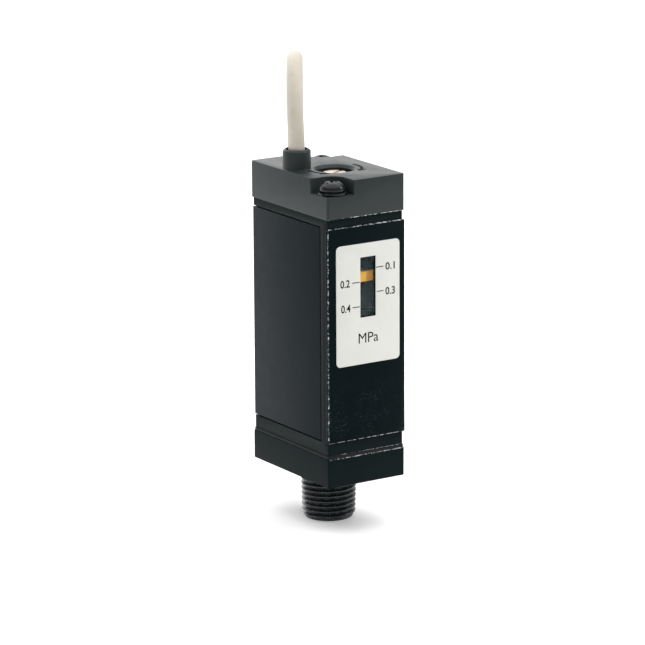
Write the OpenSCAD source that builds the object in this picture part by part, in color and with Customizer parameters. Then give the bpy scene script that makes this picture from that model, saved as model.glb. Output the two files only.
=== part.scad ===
// Small adjustable pressure switch with a reed contact, a window scale and a male pipe thread.
// Millimetres, +Z up. The origin is on the pipe thread's axis, at the shoulder under the base.
// The scale faces -Y and the service panel faces -X.

/* [Body] */
// Width of base and cover, across X
body_w = 15.5; // [14.5:0.1:20]
// Depth of base and cover, across Y
body_d = 24; // [22.5:0.1:30]
// Height of the port block, without its thread
base_h = 5; // [4.2:0.1:8]
// Thickness of the gasket between port block and housing
gasket_t = 0.5; // [0.3:0.1:1]
// Height of the housing
housing_h = 40.9; // [38:0.1:50]
// Height of the top cover
cover_h = 6.4; // [5.8:0.1:9]
// How far the housing stands in from the sides of base and cover
housing_inset = 0.2; // [0.1:0.05:0.4]
// Radius of the upright corners
corner_r = 0.4; // [0.2:0.1:0.8]
// Wall of the top cover
cover_wall = 0.9; // [0.7:0.1:1.2]
// Thickness of the top cover's roof
cover_roof = 1.2; // [0.8:0.1:1.6]

/* [Port] */
// Radius over the pipe thread's crests
thread_r = 4.86; // [4.5:0.01:6.5]
// Length of the pipe thread below the shoulder
thread_len = 8.8; // [6:0.1:12]
// Pitch of the pipe thread
thread_pitch = 0.907; // [0.6:0.001:1.4]
// Depth of the pipe thread
thread_depth = 0.58; // [0.3:0.01:0.9]
// Radius of the port's outer bore, which holds the orifice plug
port_r = 2.2; // [1.8:0.1:2.6]
// Radius of the inner passage
passage_r = 1.5; // [0.8:0.1:1.7]
// Radius of the hole in the orifice plug
orifice_r = 0.4; // [0.2:0.05:0.8]

/* [Mechanism] */
// Place of the mechanism's axis across X
mech_x = 0.25; // [-0.2:0.05:0.4]
// Place of the mechanism's axis along Y
mech_y = -2; // [-2.2:0.1:-1.6]
// Radius of the cylinder in which piston and nut slide
cylinder_r = 4.05; // [3.8:0.05:4.2]
// Wall of the cylinder where it crosses the cavity
cylinder_wall = 1; // [0.6:0.1:1.2]
// Running clearance between a sliding or turning piece and its bore
running_gap = 0.05; // [0.02:0.01:0.1]
// Height of the piston's skirt
piston_h = 4.5; // [4:0.1:6]
// Radius of the magnet
magnet_r = 2; // [1.4:0.1:2.1]
// Height of the magnet
magnet_h = 2.4; // [1.5:0.1:3]
// Radius of the spring wire
spring_wire_r = 0.35; // [0.25:0.05:0.4]
// Number of working coils
spring_coils = 9; // [6:1:12]
// Thread radius of the adjusting screw
screw_r = 1.5; // [1.2:0.05:1.6]
// Radius of the adjusting screw's slotted head
screw_head_r = 2.05; // [1.8:0.05:2.4]
// Height of the slotted head
screw_head_h = 1.9; // [1.4:0.1:2.5]
// How far the slotted head lies below the top
screw_sunk = 0.65; // [0.5:0.05:2]
// Height of the setting nut
nut_h = 3; // [2.4:0.1:4]
// Height of the middle of the pointer above the slot's lower end, at rest
pointer_rise = 6.5; // [5.4:0.1:7.5]
// Height of the pointer
pointer_h = 1.75; // [1.2:0.05:2.5]
// Travel of pointer and nut above rest
set_up = 2.25; // [1.5:0.05:2.6]
// Travel of pointer and nut below rest
set_down = 4.5; // [3:0.1:4.8]

/* [Front] */
// Thickness of the front plate
plate_t = 0.8; // [0.5:0.1:1]
// Height of the housing's rim above the front plate
rim_top = 1.4; // [1:0.1:2]
// Height of the housing's rim below the front plate
rim_bottom = 2.2; // [1.5:0.1:3]
// Width of the scale label
label_w = 12.8; // [11:0.1:13.5]
// Height of the scale label
label_h = 20.9; // [18:0.1:24]
// Distance from the front plate's top edge down to the label
label_drop = 3.2; // [2:0.1:4]
// Thickness of the scale label
label_t = 0.1; // [0.05:0.05:0.2]
// Corner radius of the scale label
label_r = 0.8; // [0.4:0.1:1.5]
// Width of the window slot
slot_w = 3.1; // [2.6:0.1:3.4]
// Height of the window slot
slot_h = 10.4; // [9:0.1:12]
// Thickness of the window behind the plate
lens_t = 0.8; // [0.5:0.1:1]

/* [Side panel] */
// Thickness of the side panel
panel_t = 0.7; // [0.5:0.1:0.8]
// Width of the frame between the front corner and the side panel
panel_frame = 2.6; // [2.4:0.1:3]
// Gap all round the side panel
panel_gap = 0.2; // [0.1:0.05:0.3]
// Radius of the panel's locating pegs
peg_r = 0.4; // [0.3:0.05:0.5]

/* [Case screws] */
// Gap between a screw head and the nearer side face
head_gap_x = 0.4; // [0.35:0.05:0.8]
// Gap between a screw head and the front or rear face
head_gap_y = 0.3; // [0.25:0.05:0.8]
// Thread radius of the case screws
case_screw_r = 1.25; // [1:0.05:1.3]
// Radius of the screw heads
case_head_r = 2.25; // [2:0.05:2.4]
// Height of the screw heads
case_head_h = 1.7; // [1.2:0.1:1.8]
// Depth of the corner pockets in the cover
pocket_depth = 2.5; // [2.4:0.1:3]
// Thickness of the lock washers
washer_t = 0.6; // [0.3:0.1:0.6]

/* [Lead] */
// Radius of the lead
lead_r = 1.4; // [1:0.1:1.5]
// Wall of the cover's chimney round the grommet
chimney_wall = 0.55; // [0.4:0.05:0.8]
// Height of the chimney above the cover
chimney_h = 3.4; // [2:0.1:4]
// Place of the lead across X
lead_x = -5; // [-5.1:0.1:-4.8]
// Place of the lead along Y
lead_y = 1.7; // [1.4:0.1:3]
// Radius of one insulated conductor
conductor_r = 0.45; // [0.3:0.05:0.5]
// Radius of the hank's turns, at the middle of the lead
hank_r = 8.4; // [8.4:0.1:10]
// Length of the hank's straight runs
hank_run = 25; // [20:1:30]
// Layers of lead in the hank
hank_layers = 4; // [3:1:5]

/* [Hidden] */
$fn = 64;

eps = 0.01;

// Levels
housing_z0 = base_h + gasket_t;
housing_z1 = housing_z0 + housing_h;
top_z = housing_z1 + cover_h;
plate_z0 = housing_z0 + rim_bottom;
plate_z1 = housing_z1 - rim_top;

// Outlines
housing_w = body_w - 2 * housing_inset;
housing_d = body_d - 2 * housing_inset;
front_y = -body_d / 2;
plate_seat_y = front_y + plate_t;
edge_gap = 0.05;

// Cavity behind the side panel
cavity_x0 = -housing_w / 2 + panel_t;
side_wall = 1.3;
cavity_x1 = housing_w / 2 - side_wall;
wall_lap = 0.55;
cavity_y0 = mech_y - cylinder_r - wall_lap;
rear_wall = 1.4;
cavity_y1 = housing_d / 2 - rear_wall;
cavity_rise = 1.5;
cavity_z0 = plate_z0 + cavity_rise;
top_wall = 5;
cavity_z1 = housing_z1 - top_wall;
panel_y0 = front_y + panel_frame + panel_gap;

// Window slot and scale label
slot_drop = 2.4;
label_x = mech_x;
label_z1 = plate_z1 - label_drop;
label_z0 = label_z1 - label_h;
slot_z1 = label_z1 - slot_drop;
slot_z0 = slot_z1 - slot_h;
lens_lap = 1.7;
lens_gap = 0.05;
lens_sunk = 0.2;

// Pressure chamber and piston
chamber_step = 0.05;
chamber_r = cylinder_r - chamber_step;
chamber_depth = 1.2;
chamber_floor = base_h - chamber_depth;
stop_gap = 0.02;
piston_r = cylinder_r - running_gap;
skirt_gap = 0.4;
piston_z0 = housing_z0 + skirt_gap;
piston_z1 = piston_z0 + piston_h;
seal_cord_r = 0.4;
seal_side_gap = 0.15;
seal_rise = 1.5;
seal_groove_r = piston_r - 2 * seal_cord_r;
seal_groove_z = piston_z0 + seal_rise;
seal_groove_h = 2 * (seal_cord_r + seal_side_gap);
foot_step = 0.3;
foot_r = seal_groove_r - foot_step;
spring_gap = 0.65;
spring_r = cylinder_r - spring_gap - spring_wire_r;
spigot_gap = 0.1;
spigot_r = spring_r - spring_wire_r - spigot_gap;
spigot_h = 1.2;
magnet_proud = 0.2;
magnet_z0 = piston_z1 + spigot_h + magnet_proud - magnet_h;

// Setting nut and pointer
pointer_z = slot_z0 + pointer_rise;
nut_z0 = pointer_z - nut_h / 2;
nut_gap = 0.25;
nut_r = cylinder_r - nut_gap;
channel_side = 0.35;
channel_w = slot_w + 2 * channel_side;
arm_gap = 0.15;
arm_w = channel_w - 2 * arm_gap;
pocket_side = 1.3;
pointer_pocket_w = channel_w + 2 * pocket_side;
pointer_w = pointer_pocket_w - 2 * arm_gap;
lens_y1 = plate_seat_y + lens_t;
pointer_gap = 0.25;
pointer_depth = 0.55;
arm_y = lens_y1 + pointer_gap + pointer_depth;
channel_spare = 0.4;
channel_z0 = pointer_z - pointer_h / 2 - set_down - channel_spare;
channel_z1 = pointer_z + pointer_h / 2 + set_up + channel_spare;

// Adjusting screw
shank_step = 0.1;
shank_r = screw_r + shank_step;
washer_gap = 0.05;
thrust_t = 0.4;
flange_h = 0.75;
flange_z1 = cavity_z1 - thrust_t - washer_gap;
flange_z0 = flange_z1 - flange_h;
flange_step = 1;
flange_r = shank_r + flange_step;
screw_spare = 1;
screw_z0 = nut_z0 - set_down - screw_spare;
screw_z1 = top_z - screw_sunk;
ring_t = 0.5;
ring_rise = 0.2;
ring_z = housing_z1 + ring_rise;
ring_groove = 0.4;
ring_groove_r = shank_r - ring_groove;
ring_step = 0.9;
ring_r = shank_r + ring_step;
shaft_seal_r = 0.5;
shaft_seal_gap = 0.03;
shaft_seal_mid_r = shank_r + shaft_seal_gap + shaft_seal_r;
seal_seat_gap = 0.05;
seal_seat_r = shaft_seal_mid_r + shaft_seal_r + seal_seat_gap;
seal_seat_depth = 1.3;
access_r = 3.1;
access_lip = 0.5;
access_wall = 0.8;

// Case screws: one at the front left, one at the rear right
screw_inset_x = case_head_r + head_gap_x;
screw_inset_y = case_head_r + head_gap_y;
screw_axes = [
    [-body_w / 2 + screw_inset_x, -body_d / 2 + screw_inset_y, 0],
    [body_w / 2 - screw_inset_x, body_d / 2 - screw_inset_y, 180]
];
clear_gap = 0.05;
pocket_floor = top_z - pocket_depth;
pocket_gap = 0.4;
pocket_r = case_head_r + pocket_gap;
pocket_wall = 0.8;
washer_step = 0.25;
case_washer_r = case_head_r + washer_step;
post_wall = 0.9;
post_r = case_screw_r + clear_gap + post_wall;
screw_tip_z = 1.2;

// Service panel pegs
peg_h = 1;
peg_low = 3;
peg_high = 2;
peg_z = [cavity_z0 + peg_low, cavity_z1 - peg_high];
peg_inset = 1.8;
peg_front_y = panel_y0 + peg_inset;
peg_rear_y = cavity_y1 + rear_wall / 2;

// Electrical parts
board_t = 0.8;
board_clear = 2.15;
board_y = mech_y + cylinder_r + cylinder_wall + board_clear;
board_w = 11.5;
board_x = -0.15;
board_groove = 0.6;
board_gap = 0.1;
reed_r = 0.95;
reed_len = 10;
reed_x = 1;
reed_gap = 0.1;
reed_y = board_y - reed_r - reed_gap;
reed_rise = 1.6;
reed_z0 = cavity_z0 + reed_rise;
blade_r = 0.25;
pad_drop = 4.5;
pad_z = cavity_z1 - pad_drop;
pad_x = [-4.7, -2.9];
wire_hole_r = 1.4;
wire_hole_shift = 0.3;
wire_hole_y = lead_y + wire_hole_shift;
jacket_rise = 1;
jacket_z0 = housing_z1 + jacket_rise;
clamp_t = 0.35;
clamp_h = 1.5;
grommet_t = 0.45;
grommet_h = 5.2;
chimney_r = lead_r + grommet_t + chimney_wall;
chimney_z1 = top_z + chimney_h;

// Free lead. The route runs up out of the chimney, over and down behind the body, to the surface
// that the thread's end stands on. The first number is the distance away from the chimney along
// the route's heading, the second is the shift to its left, the third is the height.
heading = 33;
rest_z = -8.8;
lead_route = [
    [0, 0, 47.4], [0, 0, 51.4], [0, 0, 55.8], [0, 0.1, 58.8], [0, 0.2, 61.5],
    [0.6, 0.3, 64.7], [2.5, 0.3, 67.5], [5.2, 0.3, 69.4], [8.5, 0.3, 70], [11.8, 0.3, 69.4],
    [14.5, 0.3, 67.5], [16.4, 0.3, 64.7], [17.1, 0.3, 61.3], [17.3, 0.3, 56], [17.4, 0.3, 50],
    [17.5, 0.3, 44], [17.6, 0.3, 38], [17.8, 0.3, 32], [18.2, 0.3, 26], [19, 0.3, 20],
    [20.3, 0.3, 14], [22.4, 0.3, 8.4], [25.3, 0.3, 3.2], [29, 0.3, -1.2], [33.4, 0.3, -4.6],
    [38.3, 0.3, -6.8], [42.5, 0.3, -7.4], [46, 0.3, -7.4]
];
route_end = lead_route[len(lead_route) - 1];
hank_lane = 2 * lead_r;
hank_h = hank_layers * hank_lane;
jacket_end = 7;
end_shift = 0.6;
bare_len = 5;
tip_len = 3;

function on_heading(p) = [
    lead_x + p[0] * sin(heading) - p[1] * cos(heading),
    lead_y + p[0] * cos(heading) + p[1] * sin(heading),
    p[2]
];
function unit(v) = v / norm(v);

// Shapes that repeat

module rounded_box(w, d, h, r) {
    linear_extrude(h) {
        square([w - 2 * r, d], center = true);
        square([w, d - 2 * r], center = true);
        for (x = [-1, 1], y = [-1, 1])
            translate([x * (w / 2 - r), y * (d / 2 - r)])
                circle(r);
    }
}

module rounded_plate(w, h, r) {
    square([w - 2 * r, h], center = true);
    square([w, h - 2 * r], center = true);
    for (x = [-1, 1], y = [-1, 1])
        translate([x * (w / 2 - r), y * (h / 2 - r)])
            circle(r);
}

module block(x, y, z) {
    translate([x[0], y[0], z[0]])
        cube([x[1] - x[0], y[1] - y[0], z[1] - z[0]]);
}

module ring(r0, r1, h) {
    difference() {
        cylinder(r = r1, h = h);
        translate([0, 0, -eps])
            cylinder(r = r0, h = h + 2 * eps);
    }
}

module at_mech(z) {
    translate([mech_x, mech_y, z])
        children();
}

module at_screws(z) {
    for (a = screw_axes)
        translate([a[0], a[1], z])
            rotate([0, 0, a[2]])
                children();
}

// A round tube swept along a list of points. Each ring is square to the route, and side s of every
// ring points the same way, so that the skin doesn't twist.
module tube(points, r, sides, side) {
    n = len(points);
    tangents = [
        for (i = [0 : n - 1])
            unit(points[min(i + 1, n - 1)] - points[max(i - 1, 0)])
    ];
    skin = [
        for (i = [0 : n - 1])
            let (u = unit(side - (side * tangents[i]) * tangents[i]))
            let (v = cross(tangents[i], u))
            for (k = [0 : sides - 1])
                points[i] + r * (cos(360 * k / sides) * u + sin(360 * k / sides) * v)
    ];
    walls = [
        for (i = [0 : n - 2], k = [0 : sides - 1])
            let (m = (k + 1) % sides)
            [i * sides + k, (i + 1) * sides + k, (i + 1) * sides + m, i * sides + m]
    ];
    first_cap = [for (k = [0 : sides - 1]) k];
    last_cap = [for (k = [sides - 1 : -1 : 0]) (n - 1) * sides + k];
    polyhedron(skin, concat(walls, [first_cap, last_cap]), convexity = 10);
}

// Pressure side

// A land of full radius under the shoulder, then ridges a pitch apart down to a bevelled end
module thread_profile() {
    land = 0.35;
    bevel = 0.3;
    crest = 0.1 * thread_pitch;
    foot = 0.45 * thread_pitch;
    root_r = thread_r - thread_depth;
    first_z = -land - foot - thread_pitch / 2;
    ridges = floor((thread_len - bevel + first_z - foot) / thread_pitch) + 1;
    outline = [
        for (i = [0 : ridges - 1])
            let (z = first_z - i * thread_pitch)
            for (p = [[root_r, foot], [thread_r, crest], [thread_r, -crest], [root_r, -foot]])
                [p[0], z + p[1]]
    ];
    polygon(concat([[0, eps], [thread_r, eps], [thread_r, -land], [root_r, -land - foot + crest]], outline,
        [[root_r, -thread_len + bevel], [root_r - bevel, -thread_len], [0, -thread_len]]));
}

module port_block() {
    color([0.13, 0.15, 0.16])
        difference() {
            union() {
                rounded_box(body_w, body_d, base_h, corner_r);
                rotate_extrude()
                    thread_profile();
            }
            translate([0, 0, -thread_len - eps])
                cylinder(r = port_r, h = thread_len - 1.5);
            translate([0, 0, -thread_len])
                cylinder(r = passage_r, h = thread_len + base_h - chamber_depth + eps);
            at_mech(chamber_floor)
                cylinder(r = chamber_r, h = base_h);
            at_screws(screw_tip_z)
                cylinder(r = case_screw_r, h = base_h);
        }
}

module inlet_orifice() {
    plug_h = 3;
    plug_sunk = 1;
    color([0.8, 0.66, 0.35])
        translate([0, 0, -thread_len + plug_sunk])
            ring(orifice_r, port_r, plug_h);
}

module base_gasket() {
    gasket_inset = housing_inset / 2;
    color([0.08, 0.08, 0.09])
        difference() {
            translate([0, 0, base_h])
                rounded_box(body_w - 2 * gasket_inset, body_d - 2 * gasket_inset, gasket_t, corner_r);
            at_mech(base_h - eps)
                cylinder(r = cylinder_r, h = gasket_t + 2 * eps);
            at_screws(base_h - eps)
                cylinder(r = case_screw_r + clear_gap, h = gasket_t + 2 * eps);
        }
}

// A slot across the foot lets the pressure in under the piston when it rests on the chamber floor.
module piston() {
    slot_width = 1.2;
    slot_depth = 0.5;
    color([0.78, 0.68, 0.4])
        difference() {
            union() {
                at_mech(piston_z0)
                    cylinder(r = piston_r, h = piston_h);
                at_mech(chamber_floor + stop_gap)
                    cylinder(r = foot_r, h = piston_z0 - chamber_floor);
                at_mech(piston_z1 - eps)
                    cylinder(r = spigot_r, h = spigot_h + eps);
            }
            at_mech(seal_groove_z)
                ring(seal_groove_r, piston_r + 1, seal_groove_h);
            at_mech(magnet_z0)
                cylinder(r = magnet_r, h = magnet_h + 1);
            at_mech(chamber_floor)
                translate([-foot_r - 1, -slot_width / 2, 0])
                    cube([2 * foot_r + 2, slot_width, slot_depth]);
        }
}

module piston_seal() {
    color([0.1, 0.1, 0.1])
        at_mech(seal_groove_z + seal_groove_h / 2)
            rotate_extrude()
                translate([seal_groove_r + seal_cord_r, 0])
                    circle(seal_cord_r, $fn = 24);
}

module magnet() {
    color([0.55, 0.56, 0.58])
        at_mech(magnet_z0)
            cylinder(r = magnet_r, h = magnet_h);
}

// The spring has one closed coil at each end and spring_coils open coils between them.
module set_spring() {
    end_gap = 0.02;
    z0 = piston_z1 + spring_wire_r + end_gap;
    z1 = nut_z0 - spring_wire_r - end_gap;
    closed = 2 * spring_wire_r + 0.05;
    steps = 16;
    coils = spring_coils + 2;
    open_pitch = (z1 - z0 - 2 * closed) / spring_coils;
    function height(t) = t < 1 ? closed * t
        : t > coils - 1 ? z1 - z0 - closed * (coils - t)
        : closed + open_pitch * (t - 1);
    points = [
        for (i = [0 : coils * steps])
            let (t = i / steps)
            [spring_r * cos(360 * t), spring_r * sin(360 * t), z0 + height(t)]
    ];
    color([0.75, 0.76, 0.78])
        at_mech(0)
            tube(points, spring_wire_r, 8, [0, 0, 1]);
}

// Setting side

module setting_nut() {
    color([0.85, 0.85, 0.82])
        difference() {
            union() {
                at_mech(nut_z0)
                    cylinder(r = nut_r, h = nut_h);
                block([mech_x - arm_w / 2, mech_x + arm_w / 2], [arm_y, mech_y - 2],
                    [pointer_z - pointer_h / 2, pointer_z + pointer_h / 2]);
            }
            at_mech(nut_z0 - eps)
                cylinder(r = screw_r + running_gap, h = nut_h + 2 * eps);
        }
}

// The pointer is wider than its arm, so that it fills the window seen from either side. Its face is
// a low ridge, so that its two halves catch the light differently.
module pointer() {
    half = pointer_w / 2;
    ridge_x = 0.95;
    side_depth = 0.3;
    color([0.98, 0.6, 0.12])
        translate([mech_x, arm_y, pointer_z - pointer_h / 2])
            linear_extrude(pointer_h)
                polygon([[-half, 0], [-half, -side_depth], [ridge_x, -pointer_depth],
                    [half, -side_depth], [half, 0]]);
}

module adjusting_screw() {
    slot_width = 0.6;
    slot_depth = 0.8;
    slot_turn = 20;
    bevel = 0.2;
    color([0.86, 0.8, 0.66])
        difference() {
            union() {
                at_mech(screw_z0)
                    cylinder(r = screw_r, h = flange_z0 - screw_z0 + eps);
                at_mech(flange_z0)
                    cylinder(r = flange_r, h = flange_h);
                at_mech(flange_z1 - eps)
                    cylinder(r = shank_r, h = screw_z1 - screw_head_h - flange_z1 + 2 * eps);
                at_mech(screw_z1 - screw_head_h)
                    rotate_extrude()
                        polygon([[0, 0], [screw_head_r, 0], [screw_head_r, screw_head_h - bevel],
                            [screw_head_r - bevel, screw_head_h], [0, screw_head_h]]);
            }
            at_mech(ring_z)
                ring(ring_groove_r, shank_r + 1, ring_t);
            at_mech(screw_z1 - slot_depth)
                rotate([0, 0, slot_turn])
                    translate([-screw_head_r - 1, -slot_width / 2, 0])
                        cube([2 * screw_head_r + 2, slot_width, slot_depth + 1]);
        }
}

module retaining_ring() {
    mouth = 1.4 * ring_groove_r;
    color([0.5, 0.5, 0.52])
        at_mech(ring_z)
            difference() {
                ring(ring_groove_r, ring_r, ring_t);
                translate([0, -mouth / 2, -eps])
                    cube([ring_r + 1, mouth, ring_t + 2 * eps]);
            }
}

module thrust_washer() {
    edge_clear = 0.3;
    color([0.8, 0.66, 0.35])
        at_mech(cavity_z1 - thrust_t)
            ring(shank_r + running_gap, cylinder_r - edge_clear, thrust_t);
}

module shaft_seal() {
    color([0.1, 0.1, 0.1])
        at_mech(housing_z1 - seal_seat_depth / 2)
            rotate_extrude()
                translate([shaft_seal_mid_r, 0])
                    circle(shaft_seal_r, $fn = 24);
}

// Housing

module cavity() {
    difference() {
        block([cavity_x0 - eps, cavity_x1], [cavity_y0, cavity_y1], [cavity_z0, cavity_z1]);
        at_mech(0)
            cylinder(r = cylinder_r + cylinder_wall, h = top_z);
        translate([screw_axes[1][0], screw_axes[1][1], 0])
            cylinder(r = post_r, h = top_z);
    }
}

module peg_places() {
    for (y = [peg_front_y, peg_rear_y], z = peg_z)
        translate([cavity_x0, y, z])
            rotate([0, 90, 0])
                children();
}

module housing() {
    color([0.16, 0.17, 0.18])
        difference() {
            translate([0, 0, housing_z0])
                rounded_box(housing_w, housing_d, housing_h, corner_r);
            block([-body_w, body_w], [-body_d, plate_seat_y], [plate_z0, plate_z1]);
            block([-body_w, cavity_x0], [panel_y0 - panel_gap, body_d], [plate_z0, plate_z1]);
            cavity();
            block([cavity_x0 - 1, board_x + board_w / 2 + board_gap],
                [board_y - board_gap, board_y + board_t + board_gap],
                [cavity_z0 - board_groove, cavity_z1 + board_groove]);
            at_mech(housing_z0 - eps)
                cylinder(r = cylinder_r, h = cavity_z1 - housing_z0 + eps);
            at_mech(housing_z0)
                cylinder(r = shank_r + running_gap, h = housing_h + 1);
            at_mech(housing_z1 - seal_seat_depth)
                cylinder(r = seal_seat_r, h = seal_seat_depth + 1);
            block([mech_x - channel_w / 2, mech_x + channel_w / 2], [plate_seat_y - eps, mech_y],
                [channel_z0, channel_z1]);
            block([mech_x - slot_w / 2 - lens_lap, mech_x + slot_w / 2 + lens_lap],
                [plate_seat_y - eps, lens_y1], [slot_z0 - lens_lap, slot_z1 + lens_lap]);
            block([mech_x - pointer_pocket_w / 2, mech_x + pointer_pocket_w / 2],
                [lens_y1 - eps, arm_y + arm_gap], [channel_z0, channel_z1]);
            translate([lead_x, wire_hole_y, cavity_z1 - 1])
                cylinder(r = wire_hole_r, h = top_wall + 2);
            at_screws(housing_z0 - eps)
                cylinder(r = case_screw_r + clear_gap, h = housing_h + 1);
            peg_places()
                translate([0, 0, -eps])
                    cylinder(r = peg_r, h = peg_h + 0.2);
        }
}

module side_panel() {
    color([0.2, 0.21, 0.22])
        union() {
            block([-housing_w / 2, cavity_x0], [panel_y0, housing_d / 2],
                [plate_z0 + panel_gap, plate_z1 - panel_gap]);
            peg_places()
                translate([0, 0, -eps])
                    cylinder(r = peg_r, h = peg_h);
        }
}

module front_plate() {
    color([0.06, 0.1, 0.11])
        difference() {
            translate([0, plate_seat_y, (plate_z0 + plate_z1) / 2])
                rotate([90, 0, 0])
                    linear_extrude(plate_t)
                        rounded_plate(body_w, plate_z1 - plate_z0 - 2 * edge_gap, 0.3);
            block([mech_x - slot_w / 2, mech_x + slot_w / 2], [front_y - 1, plate_seat_y + 1],
                [slot_z0, slot_z1]);
        }
}

module scale_label() {
    color([0.88, 0.88, 0.84])
        difference() {
            translate([label_x, front_y, (label_z0 + label_z1) / 2])
                rotate([90, 0, 0])
                    linear_extrude(label_t)
                        rounded_plate(label_w, label_h, label_r);
            block([mech_x - slot_w / 2, mech_x + slot_w / 2], [front_y - 1, front_y + 1],
                [slot_z0, slot_z1]);
        }
}

module window_lens() {
    color([0.3, 0.35, 0.38, 0.5])
        union() {
            block([mech_x - slot_w / 2 - lens_lap + lens_gap, mech_x + slot_w / 2 + lens_lap - lens_gap],
                [plate_seat_y, lens_y1 - lens_gap],
                [slot_z0 - lens_lap + lens_gap, slot_z1 + lens_lap - lens_gap]);
            block([mech_x - slot_w / 2 + lens_gap, mech_x + slot_w / 2 - lens_gap],
                [front_y + lens_sunk, plate_seat_y + eps], [slot_z0 + lens_gap, slot_z1 - lens_gap]);
        }
}

// Cover and its fasteners

module pocket_plan(grow) {
    r = pocket_r + grow;
    circle(r);
    translate([-body_w, -r])
        square([body_w, 2 * r]);
    translate([-r, -body_d])
        square([2 * r, body_d]);
    translate([-body_w, -body_d])
        square([body_w, body_d]);
}

module cover_hollow() {
    well_rise = 1.4;
    difference() {
        translate([0, 0, housing_z1 - 1])
            rounded_box(body_w - 2 * cover_wall, body_d - 2 * cover_wall,
                cover_h - cover_roof + 1, corner_r);
        at_screws(housing_z1 - 2)
            linear_extrude(cover_h + 2)
                pocket_plan(pocket_wall);
        at_mech(housing_z1 + well_rise)
            cylinder(r = access_r + access_wall, h = cover_h);
    }
}

module top_cover() {
    rim_bevel = 0.35;
    chimney_rise = chimney_h + cover_roof;
    color([0.24, 0.24, 0.25])
        difference() {
            union() {
                translate([0, 0, housing_z1])
                    rounded_box(body_w, body_d, cover_h, corner_r);
                translate([lead_x, lead_y, top_z - cover_roof])
                    rotate_extrude()
                        polygon([[0, 0], [chimney_r, 0], [chimney_r, chimney_rise - rim_bevel],
                            [chimney_r - rim_bevel, chimney_rise], [0, chimney_rise]]);
            }
            cover_hollow();
            at_mech(housing_z1 - 1)
                cylinder(r = access_r, h = cover_h + 2);
            at_mech(top_z - access_lip)
                cylinder(r1 = access_r, r2 = access_r + access_lip + eps, h = access_lip + eps);
            at_screws(pocket_floor)
                linear_extrude(cover_h)
                    pocket_plan(0);
            at_screws(housing_z1 - 1)
                cylinder(r = case_screw_r + clear_gap, h = cover_h);
            translate([lead_x, lead_y, housing_z1])
                cylinder(r = lead_r + grommet_t, h = cover_h + chimney_h + 1);
        }
}

module case_screws() {
    seat = pocket_floor + washer_t;
    recess = [2.4, 0.5, 1];
    dome = 0.75;
    dome_r = (pow(case_head_r, 2) + dome * dome) / (2 * dome);
    color([0.12, 0.12, 0.13])
        at_screws(0)
            difference() {
                union() {
                    translate([0, 0, screw_tip_z])
                        cylinder(r = case_screw_r, h = seat - screw_tip_z + eps);
                    intersection() {
                        translate([0, 0, seat])
                            cylinder(r = case_head_r, h = case_head_h);
                        translate([0, 0, seat + case_head_h - dome_r])
                            sphere(dome_r, $fn = 128);
                    }
                }
                for (turn = [0, 90])
                    translate([0, 0, seat + case_head_h - recess[2]])
                        rotate([0, 0, 45 + turn])
                            translate([-recess[0] / 2, -recess[1] / 2, 0])
                                cube([recess[0], recess[1], 2 * recess[2]]);
            }
}

module lock_washers() {
    split = 0.3;
    color([0.35, 0.35, 0.37])
        at_screws(pocket_floor)
            difference() {
                ring(case_screw_r + clear_gap, case_washer_r, washer_t);
                rotate([0, 0, 200])
                    translate([0, -split / 2, -eps])
                        cube([case_washer_r + 1, split, washer_t + 2 * eps]);
            }
}

module cable_grommet() {
    sunk = 0.3;
    color([0.1, 0.1, 0.1])
        translate([lead_x, lead_y, chimney_z1 - sunk - grommet_h])
            ring(lead_r, lead_r + grommet_t, grommet_h);
}

module cord_clamp() {
    jacket_proud = 0.3;
    color([0.7, 0.7, 0.72])
        translate([lead_x, lead_y, jacket_z0 + jacket_proud])
            ring(lead_r, lead_r + clamp_t, clamp_h);
}

// Electrical parts

// A conductor runs down from the end of the jacket and turns to its pad on the board.
module conductor(x, pad) {
    z = jacket_z0;
    tube([
        [lead_x + x, lead_y, z], [lead_x + x, lead_y, z - 1.5], [lead_x + x, lead_y + 0.2, z - 4],
        [lead_x + x, lead_y + 0.3, z - 7], [lead_x + x, lead_y + 0.6, z - 8.6],
        [(lead_x + x + pad) / 2, board_y - 1.3, z - 9.9], [pad, board_y - 0.9, pad_z + 0.4],
        [pad, board_y - 0.35, pad_z], [pad, board_y, pad_z]
    ], conductor_r, 8, [1, 0, 0]);
}

module conductor_brown() {
    color([0.4, 0.22, 0.12])
        conductor(-0.55, pad_x[0]);
}

module conductor_blue() {
    color([0.15, 0.25, 0.6])
        conductor(0.55, pad_x[1]);
}

module circuit_board() {
    color([0.1, 0.35, 0.2])
        block([board_x - board_w / 2, board_x + board_w / 2], [board_y, board_y + board_t],
            [cavity_z0 - board_groove + board_gap, cavity_z1 + board_groove - board_gap]);
}

module reed_capsule() {
    end_seal = 1.4;
    glass_t = 0.25;
    color([0.6, 0.8, 0.7, 0.5])
        translate([reed_x, reed_y, reed_z0])
            difference() {
                cylinder(r = reed_r, h = reed_len);
                translate([0, 0, end_seal])
                    cylinder(r = reed_r - glass_t, h = reed_len - 2 * end_seal);
                translate([0, 0, -eps])
                    cylinder(r = blade_r, h = reed_len + 2 * eps);
            }
}

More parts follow.
